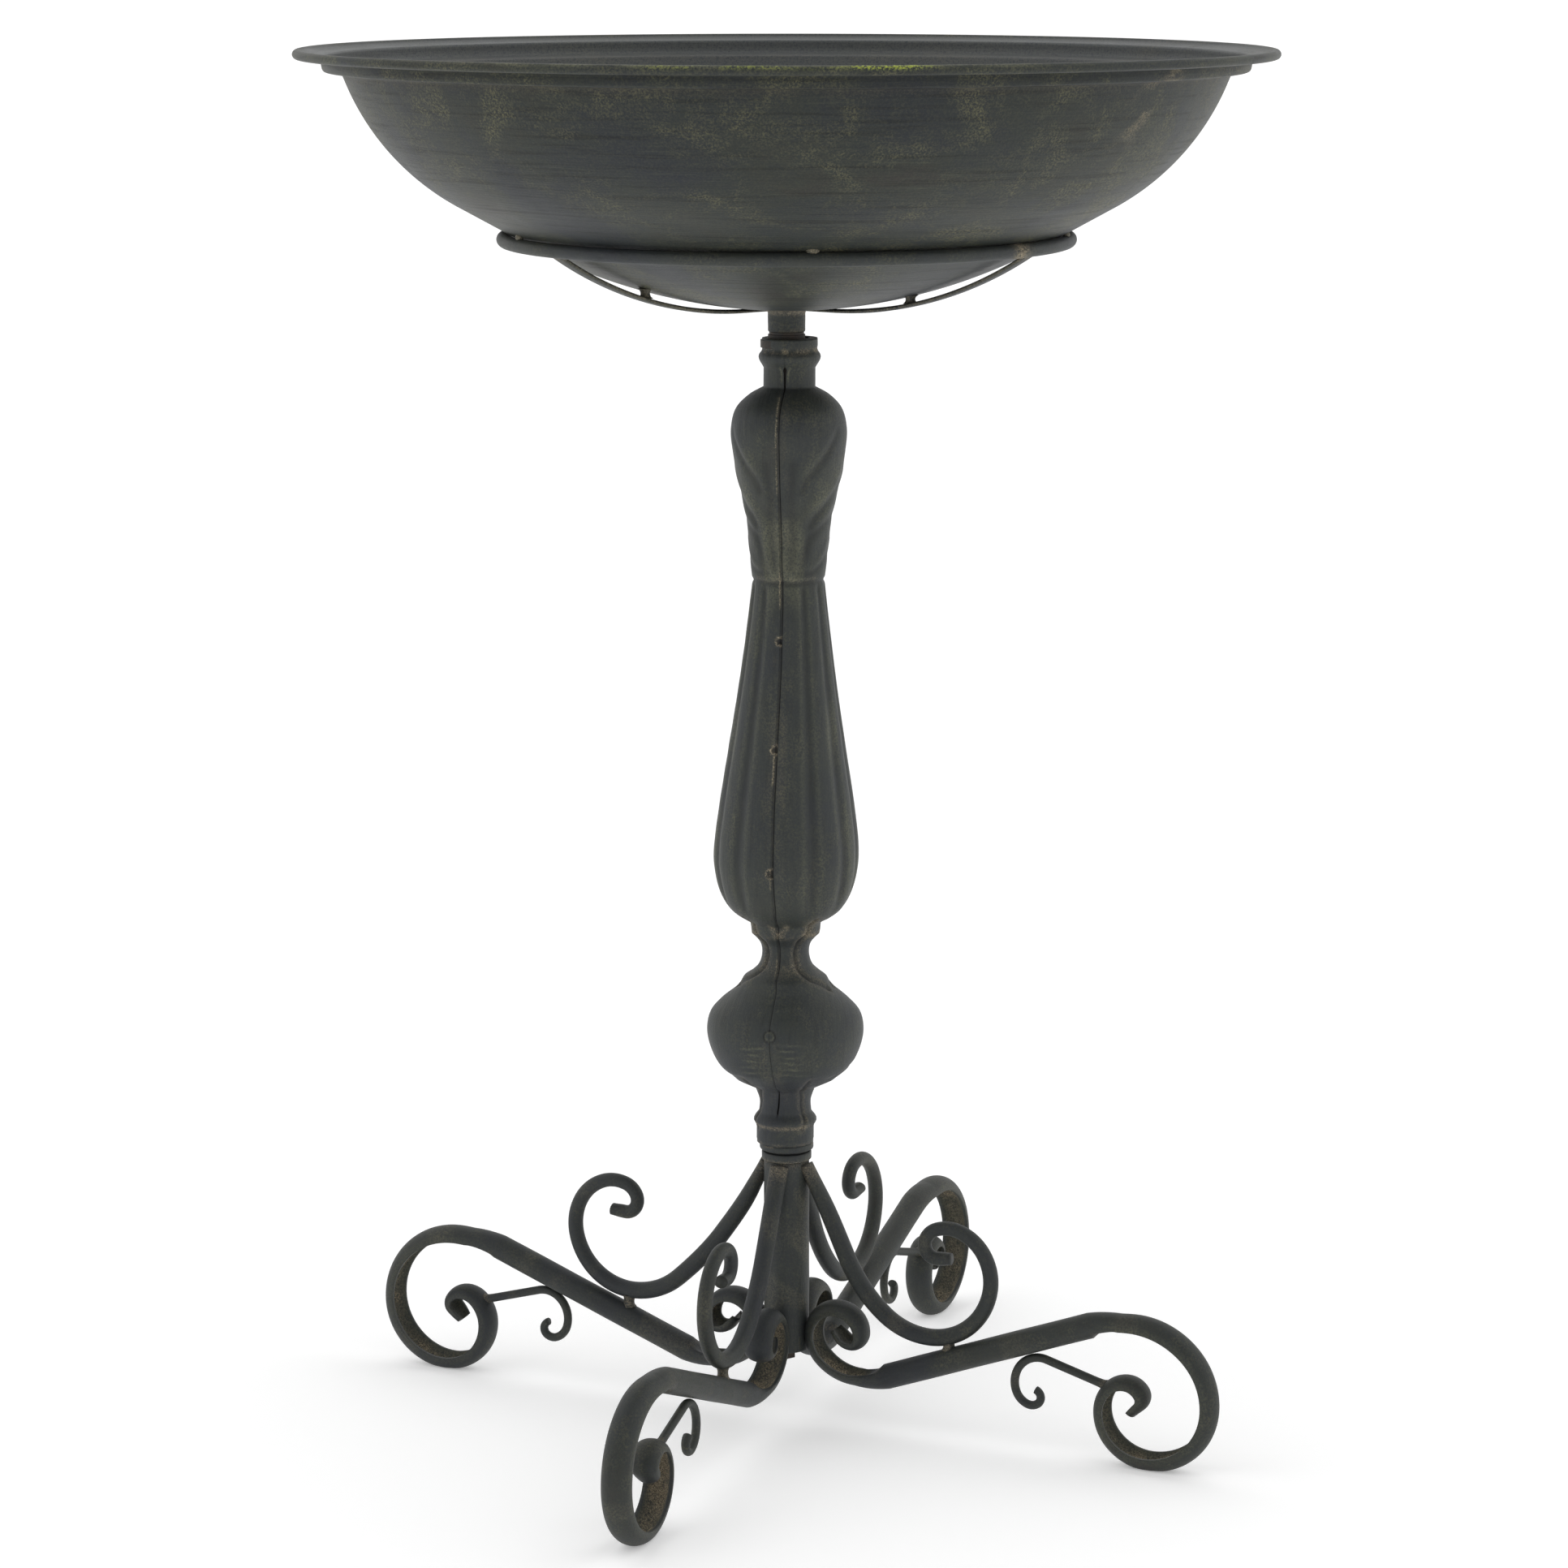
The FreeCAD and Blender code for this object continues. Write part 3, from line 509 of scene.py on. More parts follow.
def make_ring():
    """Round bar bent to a ring, with the butt weld where its ends meet."""
    columns, around = 420, 22
    weld = math.radians(VIEW_ANGLE + 51.8)
    upper_inside = math.radians(118)
    a = circle(columns)
    away = (a - weld + math.pi) % TURN - math.pi
    swell = 0.55 * bump_at(away * RING_RADIUS, 0, 3.4)
    rough = waves(a[:, None] * RING_RADIUS, np.arange(around) * 1.4, 2.0, 12, 21,
                  x_period=TURN * RING_RADIUS)
    t = circle(around)
    radius = RING_BAR - 0.05 + 0.35 * rough * bump_at(away * RING_RADIUS, 0, 6.0)[:, None]
    radius = radius + np.where(np.sin(t) < 0.2, swell[:, None], 0)
    r = RING_RADIUS + radius * np.cos(t)
    z = RING_Z + radius * np.sin(t)
    points = np.stack([r * np.cos(a)[:, None], r * np.sin(a)[:, None], z], -1)
    grain = np.stack(np.broadcast_arrays(a[:, None] * RING_RADIUS, t * RING_BAR, 0 * r), -1)
    # painted glints along the upper inside of the bar, where it faces the bowl; they go into the
    # rust and wear marks with the weld's real rust
    glint = waves(a * RING_RADIUS, 0 * a, 9.0, 14, 22, x_period=TURN * RING_RADIUS)
    glint = np.clip(glint, 0, 1)[:, None] * bump_at(t, upper_inside, 0.5)
    rust_and_glint = bump_at(away * RING_RADIUS, 0, 6.5)[:, None] + glint
    # painted shade along the upper inside of the bar, in the gap under the bowl
    marks = {"grain": grain * MM, "rust_and_glint": rust_and_glint, "wear_and_highlight": 0.5 * rust_and_glint,
             "painted_shade": 0.5 * bump_at(t, upper_inside, 0.35)}
    faces = grid_quads(columns, around, wrap_cols=True, wrap_rows=True)[:, ::-1]
    make_mesh("cradle_ring", points, faces.tolist(), marks, BASIN_UNIT, ["support_ring"],
              "cradle_patina")


def place_rows(rows, angle, side):
    """Points of (radius, height) rows shifted sideways, turned round the axis."""
    c, s = math.cos(angle), math.sin(angle)
    r, z = rows[..., 0], rows[..., 1]
    return np.stack([r * c - side * s, r * s + side * c, z], -1)


def sweep(name, line, headings, section, angle, body, nodes, slot, marks_of, floor=None,
          ceiling=None):
    """Bar along a plane curve; section(k) gives (sideways, leftwards) points for station k."""
    blocks, sides = [], []
    for k, (point, heading) in enumerate(zip(line, headings)):
        sec = section(k)
        left = np.array([-math.sin(heading), math.cos(heading)])
        blocks.append(point + sec[:, 1:2] * left)
        sides.append(sec[:, 0])
    rows, side = np.array(blocks), np.array(sides)
    points = place_rows(rows, angle, side)
    if floor is not None:
        points[..., 2] = np.maximum(points[..., 2], floor)
    if ceiling:
        out = np.hypot(points[..., 0], points[..., 1])
        points[..., 2] = np.minimum(points[..., 2], ceiling(out))
    count, cols = side.shape
    run = run_along(line)
    around = np.linspace(0, 40, cols, endpoint=False)
    grain = np.stack(np.broadcast_arrays(around, run[:, None], 0.0), -1)
    marks = {"grain": grain * MM, **marks_of(run, side)}
    make_mesh(name, points, closed_tube(count, cols), marks, body, nodes, slot)


STRUT_ANGLES = (-120.0, -5.5, 114.5)
# How far out each strut's spacer stands.
STUB_POSITIONS = (115.0, 95.5, 104.0)
STRUT_Z = 782.8


def strut_line():
    """Flat from the sleeve, then one arc up to the ring."""
    inner = np.array([SLEEVE_RADIUS - 0.5, STRUT_Z])
    flat, inset = 25.0, 2.0
    gap = RING_RADIUS - inset - inner[0] - flat
    rise = RING_Z - inset / 2 - inner[1]
    turn = 2 * math.atan(rise / gap)
    radius = gap / math.sin(turn)
    t = np.linspace(0, turn, 60)
    centre = inner + (flat, radius)
    bend = centre + radius * np.stack([np.sin(t), -np.cos(t)], 1)
    line = np.vstack([inner + np.linspace(0, 1, 8)[:-1, None] * (flat, 0), bend])
    headings = np.concatenate([np.zeros(7), t])
    return line, headings


def make_struts():
    line, headings = strut_line()
    run = run_along(line)
    t = circle(28)
    across = np.sign(np.cos(t)) * np.abs(np.cos(t)) ** 0.45 * 6.0
    through = np.sign(np.sin(t)) * np.abs(np.sin(t)) ** 0.8

    def section(k):
        thick = 0.9 + 0.6 * smooth(0.0, 0.35, run[k] / run[-1])
        return np.stack([across, through * thick], 1)

    def marks_of(run, side):
        end = bump_at(run, run[-1], 9) + bump_at(run, 0, 8)
        edge = smooth(5.0, 6.0, np.abs(side))
        return {"rust_and_glint": end[:, None] * 0.8 + 0.3 * edge, "wear_and_highlight": 0.3 * edge}

    for k, angle in enumerate(STRUT_ANGLES, 1):
        sweep("cradle_strut_%d" % k, line, headings, section, math.radians(angle), BASIN_UNIT,
              ["support_strut_%d" % k], "cradle_patina", marks_of,
              ceiling=lambda r: bowl_height(r) + 0.4)
    return line


def make_welds(name, parts, rust_and_glint, wear_and_highlight, body, node, slot):
    """One piece from several (points, faces) lumps, evenly rusted."""
    points, faces, start = [], [], 0
    for p, f in parts:
        points.append(p)
        faces += [[i + start for i in face] for face in f]
        start += len(p)
    make_mesh(name, np.vstack(points), faces, {"rust_and_glint": rust_and_glint, "wear_and_highlight": wear_and_highlight}, body, [node], slot)


def lump(profile, columns, seed, rough):
    """Small revolved blob about Z with a rough skin, for studs."""
    a = circle(columns)
    radius, height = profile[:, :1], profile[:, 1:]
    noise = waves(a * 4, height, 1.6, 10, seed, x_period=TURN * 4)
    r = radius * (1 + rough * noise)
    points = np.stack([r * np.cos(a), r * np.sin(a), np.broadcast_to(height, r.shape)], -1)
    return points.reshape(-1, 3), closed_tube(len(profile), columns)


def concave_stub(radius, low, high, flare):
    """Pillar between two heights that flares out into both of its welds."""
    z = np.linspace(low, high, 14)
    t = (z - low) / (high - low)
    r = radius + flare * (np.exp(-t * (high - low) / 1.3) + np.exp(-(1 - t) * (high - low) / 1.3))
    return np.stack([r, z], 1)


def turned(points, angle, offset):
    c, s = math.cos(angle), math.sin(angle)
    x, y = points[:, 0] + offset, points[:, 1]
    return np.stack([x * c - y * s, x * s + y * c, points[:, 2]], 1)


def make_spacers(line):
    parts = []
    for k, at in enumerate(STUB_POSITIONS):
        strut_z = np.interp(at, line[:, 0], line[:, 1]) + 1.0
        bowl_z = bowl_height(at) + 0.6
        points, faces = lump(concave_stub(2.7, strut_z, bowl_z, 2.6), 20, 40 + k, 0.05)
        parts.append((turned(points, math.radians(STRUT_ANGLES[k]), at), faces))
    make_welds("strut_spacer_stubs", parts, 0.35, 0.2, BASIN_UNIT, "strut_spacers",
               "cradle_patina")


def make_pads():
    """Five weld beads that fill the hairline between the ring and the bowl."""
    parts = []
    contact = RING_RADIUS - (RING_BAR + 0.2) * math.sin(BOWL_LEAN)
    outward = 3.0
    mid_r = contact + outward * math.cos(BOWL_LEAN)
    mid_z = bowl_height(contact) + outward * math.sin(BOWL_LEAN)
    rows, columns = 15, 16
    t, a = np.linspace(-1, 1, rows)[:, None], circle(columns)
    for k in range(5):
        noise = waves(t * 5, a * 3, 1.5, 10, 60 + k)
        rr = 2.6 * np.sqrt(np.maximum(1 - t ** 2, 0.02)) * (1 + 0.16 * noise)
        r, z = mid_r + rr * np.cos(a), mid_z + rr * np.sin(a)
        side = np.broadcast_to(t * 4.5, r.shape)
        points = place_rows(np.stack([r, z], -1), math.radians(-132.5 + 72 * k), side)
        parts.append((points.reshape(-1, 3), closed_tube(rows, columns, flip=True)))
    make_welds("ring_weld_beads", parts, 0.55, 0.5, BASIN_UNIT, "ring_weld_pads",
               "cradle_patina")


def make_sleeve():
    low, top_z = sleeve_low[2], BASIN_FLOOR + 0.1
    wall = curve_through([(0, low + 1.5), (0, top_z - 3)], 0.9)
    weld = [(0.3, top_z - 2.0), (1.2, top_z - 0.6), (3.2, top_z + 0.9)]
    profile = np.vstack([[(-2.0, low), (-0.5, low), (0, low + 0.6)], wall, weld])
    profile[:, 0] += SLEEVE_RADIUS

    def displace(a, radius, height):
        rough = waves(a * 12, height, 1.8, 14, 31, x_period=TURN * 12)
        return 0.22 * rough * smooth(top_z - 7, top_z - 2, height) + 0.05 * rough

    def masks(a, radius, height):
        weld = smooth(top_z - 5, top_z - 1.5, height)
        patch = smooth(0.1, 0.7, waves(a * 12, height, 5.0, 12, 33, x_period=TURN * 12))
        # painted shade round the foot of the sleeve
        return {"rust_and_glint": 0.45 * weld + 0.25 * patch, "wear_and_highlight": 0.25 * patch,
                "painted_shade": 0.5 * bump_at(height, low, 1.2)}

    revolve("socket_sleeve_tube", profile, 96, BASIN_UNIT, ["socket_sleeve"], "cradle_patina",
            displace, masks, sharp=50)


# ---- column

# (radius, height) stations of the pressed shells, one list per smooth stretch, with the
# height measured from the shells' foot.
SHELL_STRETCHES = [
    [(19.9, 0.0), (19.9, 10.9)],
    [(19.9, 10.9), (21.9, 16.4), (18.2, 22.4)],
    [(18.2, 22.4), (17.9, 30.4), (20.9, 39.8)],
    [(20.9, 39.8), (35.1, 46.9)],
    [(35.1, 46.9), (46.1, 56.1), (52.8, 70.1), (54.7, 82.4), (52.4, 93.0), (45.6, 100.9),
     (34.2, 110.2), (31.2, 113.8)],
    [(31.2, 113.8), (28.8, 118.4), (23.4, 122.4), (18.6, 127.4), (16.4, 135.2), (17.4, 142.4),
     (23.4, 149.9)],
    [(23.4, 149.9), (24.9, 157.4)],
    [(24.9, 157.4), (38.7, 167.4), (45.6, 179.0), (49.8, 196.3), (50.2, 210.4), (47.3, 235.8),
     (39.7, 286.0), (33.3, 328.0), (29.0, 360.1), (24.8, 397.0)],
    [(24.8, 397.0), (26.4, 409.4), (28.1, 429.7), (31.2, 450.4), (35.3, 467.1), (38.4, 485.4),
     (39.6, 501.0), (36.3, 514.3), (27.6, 523.7), (17.7, 529.4)],
    [(17.7, 529.4), (17.7, 542.4)],
    [(17.7, 542.4), (21.2, 549.4), (19.2, 555.9)],
    [(19.2, 555.9), (19.0, 562.4)],
]
# Seam angle from the viewing direction against height above the foot.
SEAM_DRIFT = [(0, -16), (24, -17.6), (30, -15), (42, -10.7), (55, -10.2), (90, -11.9),
              (114, -11.4), (121, -13.5), (150, -12), (172, -9.4), (200, -10.4), (247, -10.6),
              (285, -9.7), (340, -8.2), (382, -7.8), (411, -9.7), (440, -10.4), (513, -10.0),
              (525, -9.6), (531, -10.4), (563, -10.0)]
# Half width of the slit between the shells' front edges against height, in mm.
SEAM_GAP = [(0, 0), (22, 0), (24, 0.5), (34, 0.4), (41, 0.08), (110, 0.05), (125, 0.1),
            (523, 0.12), (529, 0.4), (532, 0.55), (540, 0.9), (542, 1.5), (544, 0), (563, 0)]
# How plainly the seam shows against height: nothing where it is welded shut and dressed.
SEAM_SHOW = [(0, 0), (21, 0), (23, 1), (38, 1), (44, 0.45), (84, 0.4), (95, 0.45), (112, 0.7),
             (150, 0.6), (170, 0.5), (390, 0.45), (405, 0.55), (520, 0.6), (530, 1), (542, 1),
             (544.5, 0), (563, 0)]
# Valleys between the pressed leaves of the bulb: (degrees from the seam, height) and depth.
BULB_VALLEYS = [
    ([(66, 500), (54, 487.5), (36, 474), (30, 470), (25, 462)], 2.6, 1.5),
    ([(90, 470), (77, 459), (57, 446.5), (48, 443.5), (40, 437)], 2.4, 1.4),
    ([(88, 444), (70, 438), (41, 429.5), (31, 414), (25, 403)], 2.6, 1.5),
    ([(90, 418), (75, 413), (58, 406.5), (38, 403.5)], 2.2, 1.1),
    ([(14, 480), (12, 455), (16, 430), (13, 408)], 2.6, 0.7),
]
BULB_RIDGES = [
    ([(52, 498), (40, 484), (24, 470), (14, 452)], 4.0, 0.9),
    ([(80, 472), (62, 458), (42, 450), (22, 436)], 3.6, 0.8),
    ([(84, 452), (56, 438), (36, 420), (20, 406)], 3.6, 0.8),
    ([(80, 425), (62, 413), (46, 408)], 2.6, 0.7),
]
NECK_CREASES = [
    ([(47, 163), (54, 155), (39, 146), (36, 137), (40, 128), (47, 123.5), (53, 120.5), (66, 117),
      (80, 112)], 1.7, 1.6),
    ([(34, 51), (33, 46), (50, 34), (60, 22), (52, 12)], 1.4, 0.9),
]
FLUTE_ANGLES = (32.0, 64.0, 90.0)
# Sideways lean of the column, towards the viewer's right, against height.
COLUMN_LEAN = [(0, -0.9), (60, -0.9), (150, -0.7), (240, 0.1), (330, 0.8), (420, 1.5),
               (500, 1.8), (563, 2.1)]
# Notches (height, radius) in the left shell's lap, and the heights of the round plug weld
# and of the groove under the top collar.
NOTCHES = ((358.3, 2.4), (285.0, 2.7), (200.6, 2.9))
PLUG_HEIGHT = 87.6
COLLAR_GROOVE = 554.5
SHOULDER_RIPPLES = (113.5, 109.0, 104.5)
SHELL_WALL = 1.2
LID_ROWS = 3


def shell_profile(spacing):
    parts = [curve_through(s, spacing) for s in SHELL_STRETCHES]
    return np.vstack([parts[0]] + [p[1:] for p in parts[1:]])


def distance_to(path, x, z, radius):
    """Distance in mm from surface points to a chain given as (degrees, height)."""
    best = np.full(x.shape, 1e9)
    for (a0, z0), (a1, z1) in zip(path, path[1:]):
        x0, x1 = np.radians(a0) * radius, np.radians(a1) * radius
        dx, dz = x1 - x0, z1 - z0
        t = np.clip(((x - x0) * dx + (z - z0) * dz) / (dx * dx + dz * dz + 1e-9), 0, 1)
        d = np.hypot(x - x0 - t * dx, z - z0 - t * dz)
        best = np.minimum(best, d)
    return best


def shell_relief(a_deg, radius, z, left):
    """Relief along the normal (mm) with its masks for one shell: rust, wear with painted
    highlights, and painted shade in the valleys, creases and grooves.

    a_deg runs from 0 at the front seam to 180 at the back one; z is above the foot.
    """
    b = 90 - np.abs(a_deg - 90)
    x = np.radians(b) * radius
    rise, rust_and_glint, wear_and_highlight, painted_shade = (np.zeros(x.shape) for _ in range(4))

    def mottle(low, high, reach, count, seed):
        return smooth(low, high, waves(x, z, reach, count, seed))

    bulb = smooth(399, 405, z) * (1 - smooth(508, 522, z))
    for path, width, depth in BULB_VALLEYS:
        d = distance_to(path, x, z, radius)
        away = bump_at(d, 0, width * 1.25) * bulb * (1 - 0.7 * smooth(50, 80, b))
        rise -= 0.75 * depth * away
        # painted shade in the valley
        painted_shade += 0.4 * away
    for path, width, depth in BULB_RIDGES:
        d = distance_to(path, x, z, radius)
        rise += 0.55 * depth * bump_at(d, 0, width * 1.2) * bulb
        # painted highlight along the ridge, broken into patches, in the wear mark
        highlight_breakup = mottle(-0.5, 0.8, 9.0, 12, 70)
        wear_and_highlight += 0.45 * highlight_breakup * bump_at(d, 0, width * 1.3) * bulb
    for path, width, depth in NECK_CREASES:
        d = distance_to(path, x, z, radius)
        rise -= depth * bump_at(d, 0, width)
        # painted shade in the crease
        painted_shade += 0.65 * bump_at(d, 0, width * 0.6)
        rust_and_glint += 0.18 * bump_at(d, width * 1.6, width)
    flute = smooth(163, 185, z) * (1 - smooth(392, 398, z))
    nearest = np.min([np.abs(b - angle) for angle in FLUTE_ANGLES], axis=0)
    scale = radius / 50.0
    crown = 1.5 * scale * (1 - np.clip(np.minimum(nearest, b) / 15.0, 0, 1)) ** 1.6
    rise -= flute * (0.4 * crown + 1.5 * (0.35 + 0.65 * scale) * bump_at(nearest, 0, 5.0))
    # painted shade in the flute grooves
    painted_shade += 0.3 * flute * bump_at(nearest, 0, 4.0)
    # painted highlights on the edges beside each groove
    wear_and_highlight += 0.25 * flute * bump_at(nearest, 7.5, 2.5)
    # ring where the bulb meets the flutes
    step_line = 398 + 0.9 * waves(x, 0 * z, 5.0, 10, 71)
    rise -= 0.9 * bump_at(z, step_line, 1.4)
    # painted shade in the step
    painted_shade += 0.5 * bump_at(z, step_line, 1.2)
    rust_and_glint += 0.35 * bump_at(z - step_line, 2.4, 1.5) * mottle(-0.1, 0.6, 6.0, 10, 72)
    # weld-like rough groove under the top collar, and rough bands on the ferrule
    for level, width, depth in ((COLLAR_GROOVE, 1.9, 0.8), (13.5, 1.3, 0.5), (0.6, 1.0, 0.6)):
        band = bump_at(z, level, width)
        rise -= band * (depth + 0.35 * waves(x, z, 1.9, 14, int(level) + 80))
        rust_and_glint += 0.5 * band * mottle(-0.5, 0.5, 7.0, 12, int(level) + 90)
    neck = smooth(108, 122, z) * (1 - smooth(152, 170, z))
    rust_and_glint += neck * 0.4 * mottle(0.0, 0.8, 8.0, 12, 73)
    groove = bump_at(z, COLLAR_GROOVE, 1.2) * mottle(-0.3, 0.2, 5.0, 12, 95)
    rust_and_glint += 1.2 * groove
    wear_and_highlight += 0.8 * groove
    # olive blotches, drawn out along the column
    blotch = smooth(0.15, 0.75, waves(x, z * 0.45, 9.0, 12, 96))
    low_bulb = smooth(395, 400, z) * (1 - smooth(445, 490, z))
    wear_and_highlight += blotch * (0.7 * low_bulb + 0.45 * flute)
    # cast-looking band between the neck and the flutes
    collar_band = smooth(147, 151, z) * (1 - smooth(158, 164, z))
    rough = waves(x, z, 3.0, 14, 74)
    rise += collar_band * 0.5 * rough
    rust_and_glint += collar_band * 0.6 * smooth(-0.2, 0.6, rough)
    # soft undulations and tool strokes on the ball, and the crease at its lower right
    ball = smooth(44, 52, z) * (1 - smooth(110, 118, z))
    rise += ball * 0.35 * waves(x * 0.3, z, 6.0, 10, 75)
    for level in SHOULDER_RIPPLES:
        rise += 0.45 * bump_at(z - level, 0.02 * x, 1.6) * bump_at(x, 0, 26)
    ripple_band = bump_at(x, 11, 9) * smooth(54, 58, z) * (1 - smooth(80, 84, z))
    strokes = np.sin(z * 1.35 + 0.12 * x + (1.0 if left else 2.2))
    strokes += 0.5 * waves(x, z, 5.0, 10, 94)
    rise += 0.5 * ripple_band * strokes
    wear_and_highlight += 0.8 * ripple_band * smooth(0.3, 1.0, strokes)
    lower = bump_at(z, 50 + 0.22 * np.abs(x - 40), 1.6) * smooth(20, 30, x)
    rise -= 0.8 * lower
    # painted shade in the crease
    painted_shade += 0.3 * lower
    # unevenness of a hand-finished pressing
    rise += 0.22 * waves(x, z, 22.0, 12, 76 + left) + 0.10 * waves(x, z, 6.0, 14, 78 + left)
    return rise, rust_and_glint, wear_and_highlight, painted_shade


def make_shell(name, node, left):
    profile = shell_profile(1.3)
    normals = profile_normals(profile)
    radius, height = profile.T
    fine, coarse = 0.45, 1.3
    deg = np.concatenate([np.arange(0, 11, fine), np.arange(11.2, 168.8, coarse),
                          np.arange(169, 180 + 1e-6, fine)])
    deg[-1] = 180.0
    side = -1.0 if left else 1.0
    drift = from_table(height, SEAM_DRIFT)
    start = np.degrees(from_table(height, SEAM_GAP) / radius)[:, None]
    back = np.degrees(0.2 / radius)[:, None]
    a_deg = start + (180 - start - back) * deg / 180
    rr = np.broadcast_to(radius[:, None], a_deg.shape)
    zz = np.broadcast_to(height[:, None], a_deg.shape)
    rise, rust_and_glint, wear_and_highlight, painted_shade = shell_relief(a_deg, rr, zz, int(left))
    from_seam = np.radians(a_deg) * rr
    plug_gap = np.hypot(from_seam, zz - PLUG_HEIGHT)
    show = from_table(height, SEAM_SHOW)[:, None] * smooth(3.0, 3.8, plug_gap)
    from_back = np.radians(180 - a_deg) * rr
    body_part = smooth(120, 130, zz) * (1 - smooth(521, 527, zz))
    if left:
        lap = (1 - smooth(1.5, 2.1, from_seam)) * body_part
        rise -= 0.75 * lap
        edge = bump_at(from_seam, 2.2, 0.55) * body_part
        broken = smooth(-0.1, 0.5, waves(from_seam * 0.3, zz, 9.0, 12, 91))
        rust_and_glint += 0.85 * edge * broken
        wear_and_highlight += 0.6 * edge * broken
        # painted shade on the sunken lap
        painted_shade += 0.35 * lap
        for level, size in NOTCHES:
            d = np.hypot(from_seam - 1.6, zz - level)
            rise -= 1.3 * (1 - smooth(size - 0.5, size + 0.3, d))
            # painted shade inside the notch
            painted_shade += 0.85 * (1 - smooth(size - 0.8, size, d))
            rust_and_glint += 1.1 * bump_at(d, size + 0.5, 0.6)
    # painted shade in the front seam
    painted_shade += 0.7 * show * bump_at(from_seam, 0, 0.8)
    # worn edges of the open slit under the top collar
    fork = bump_at(from_seam, 2.2 + 0.35 * np.maximum(zz - 540, 0), 0.7) * smooth(531, 538, zz)
    wear_and_highlight += 0.8 * fork * (1 - smooth(543, 545, zz))
    rise -= 0.6 * show * bump_at(from_seam, 0, 0.7) + 0.6 * bump_at(from_back, 0, 0.9)
    # painted shade in the back seam
    painted_shade += 0.6 * bump_at(from_back, 0, 1.0)
    stain = smooth(0.0, 0.7, waves(from_seam, zz, 7.0, 12, 92))
    rust_and_glint += 0.08 * bump_at(from_seam, 3.5, 3.0) * stain
    rise += 0.3 * (1 - smooth(2.9, 3.7, plug_gap)) - 0.7 * bump_at(plug_gap, 4.0, 0.6)
    # painted shade in the groove round the plug weld
    painted_shade += 0.8 * bump_at(plug_gap, 4.0, 0.6)
    wear_and_highlight += 0.5 * bump_at(plug_gap, 3.0, 0.7)
    world = np.radians(VIEW_ANGLE + drift[:, None] + side * a_deg)
    r = rr + rise * normals[:, :1]
    z = zz + rise * normals[:, 1:] + SHELL_FOOT
    side_angle = math.radians(VIEW_ANGLE + 90)

    def shell_points(r, z, world):
        lean = from_table(z - SHELL_FOOT, COLUMN_LEAN)
        return np.stack([r * np.cos(world) + lean * math.cos(side_angle),
                         r * np.sin(world) + lean * math.sin(side_angle), z], -1)

    def widened(rows):
        """Rows with their first and last columns twice, for the turned-in border."""
        return np.concatenate([rows[:, :1], rows, rows[:, -1:]], axis=1)

    def spread(mask, value_top=0.0):
        mask = widened(mask)
        return np.concatenate([mask[:1], mask] + [mask[-1:] + value_top] * LID_ROWS, axis=0)

    # the border is turned in by the wall's thickness, and the top closes in a lid
    inner = shell_points(r - SHELL_WALL * normals[:, :1], z - SHELL_WALL * normals[:, 1:], world)
    side_wall = np.concatenate([inner[:, :1], shell_points(r, z, world), inner[:, -1:]], axis=1)
    lid_step = np.linspace(1.2, 5.6, LID_ROWS)[:, None]
    top_r = r[-1] - (lid_step + 0.25 * waves(deg * 0.5, 0 * deg, 1.0, 8, 93))
    lid = shell_points(top_r, np.broadcast_to(z[-1], top_r.shape),
                       np.broadcast_to(world[-1], top_r.shape))
    foot = shell_points(r[:1] - SHELL_WALL, z[:1], world[:1])
    grid = np.concatenate([widened(foot), side_wall, widened(lid)], axis=0)

    along = run_along(profile)[:, None]
    grain = np.stack(np.broadcast_arrays(side * from_seam, along, 0.0), -1)
    marks = {"rust_and_glint": spread(rust_and_glint, 0.3), "wear_and_highlight": spread(wear_and_highlight), "painted_shade": spread(painted_shade),
             "grain": spread(grain) * MM}
    faces = grid_quads(*grid.shape[:2])
    if left:
        faces = faces[:, ::-1]
    make_mesh(name, grid, faces.tolist(), marks, PEDESTAL, [node], "column_patina")


# ---- base post

# Gap in mm that keeps touching faces apart.
CLEAR = 0.02


def turned_piece(name, node, profile, reach, lumps, masks):
    """Turned piece of the base; lumps are the height, size and seed of its unevenness."""
    height, size, seed = lumps

    def field(a, z, size, seed):
        return waves(a * reach, z, size, 12, seed, x_period=TURN * reach)

    revolve(name, profile, 96, PEDESTAL, [node], "column_patina",
            lambda a, rr, z: height * field(a, z, size, seed),
            lambda a, rr, z: masks(lambda *chosen: field(a, z, *chosen), z), sharp=50)


def make_post():
    low, high, radius = post_low[2], post_high[2], post_high[0]
    profile = np.vstack([[radius - 2.0, low], [radius - 0.4, low], [radius, low + 0.5],
                         curve_through([(radius, low + 1.5), (radius, high - 1.5)], 1.5),
                         [radius, high - 0.3], [radius - 0.3, high]])

    def masks(field, z):
        patch = smooth(0.1, 0.8, field(12.0, 102))
        # painted shade at the top of the post, under the flange
        return {"rust_and_glint": 0.1 * patch + 0.2 * smooth(high - 8, high, z), "wear_and_highlight": 0.15 * patch,
                "painted_shade": 0.6 * smooth(high - 6, high, z)}

    turned_piece("base_post_tube", "base_post", profile, 16, (0.10, 9.0, 101), masks)


def make_flange():
    low, high, radius = flange_low[2], flange_high[2], flange_high[0]
    inner = radius - 4.6
    profile = rounded([(inner, low + CLEAR), (radius, low + CLEAR), (radius, high),
                       (inner, high)], 1.2)

    def masks(field, z):
        # painted shade along the top, under the joint ring
        return {"rust_and_glint": 0.5 * bump_at(z, low, 1.5), "painted_shade": 0.5 * bump_at(z, high, 1.6)}

    turned_piece("post_top_flange", "post_flange", resample(profile, 0.7), 17, (0.12, 3.0, 103),
                 masks)


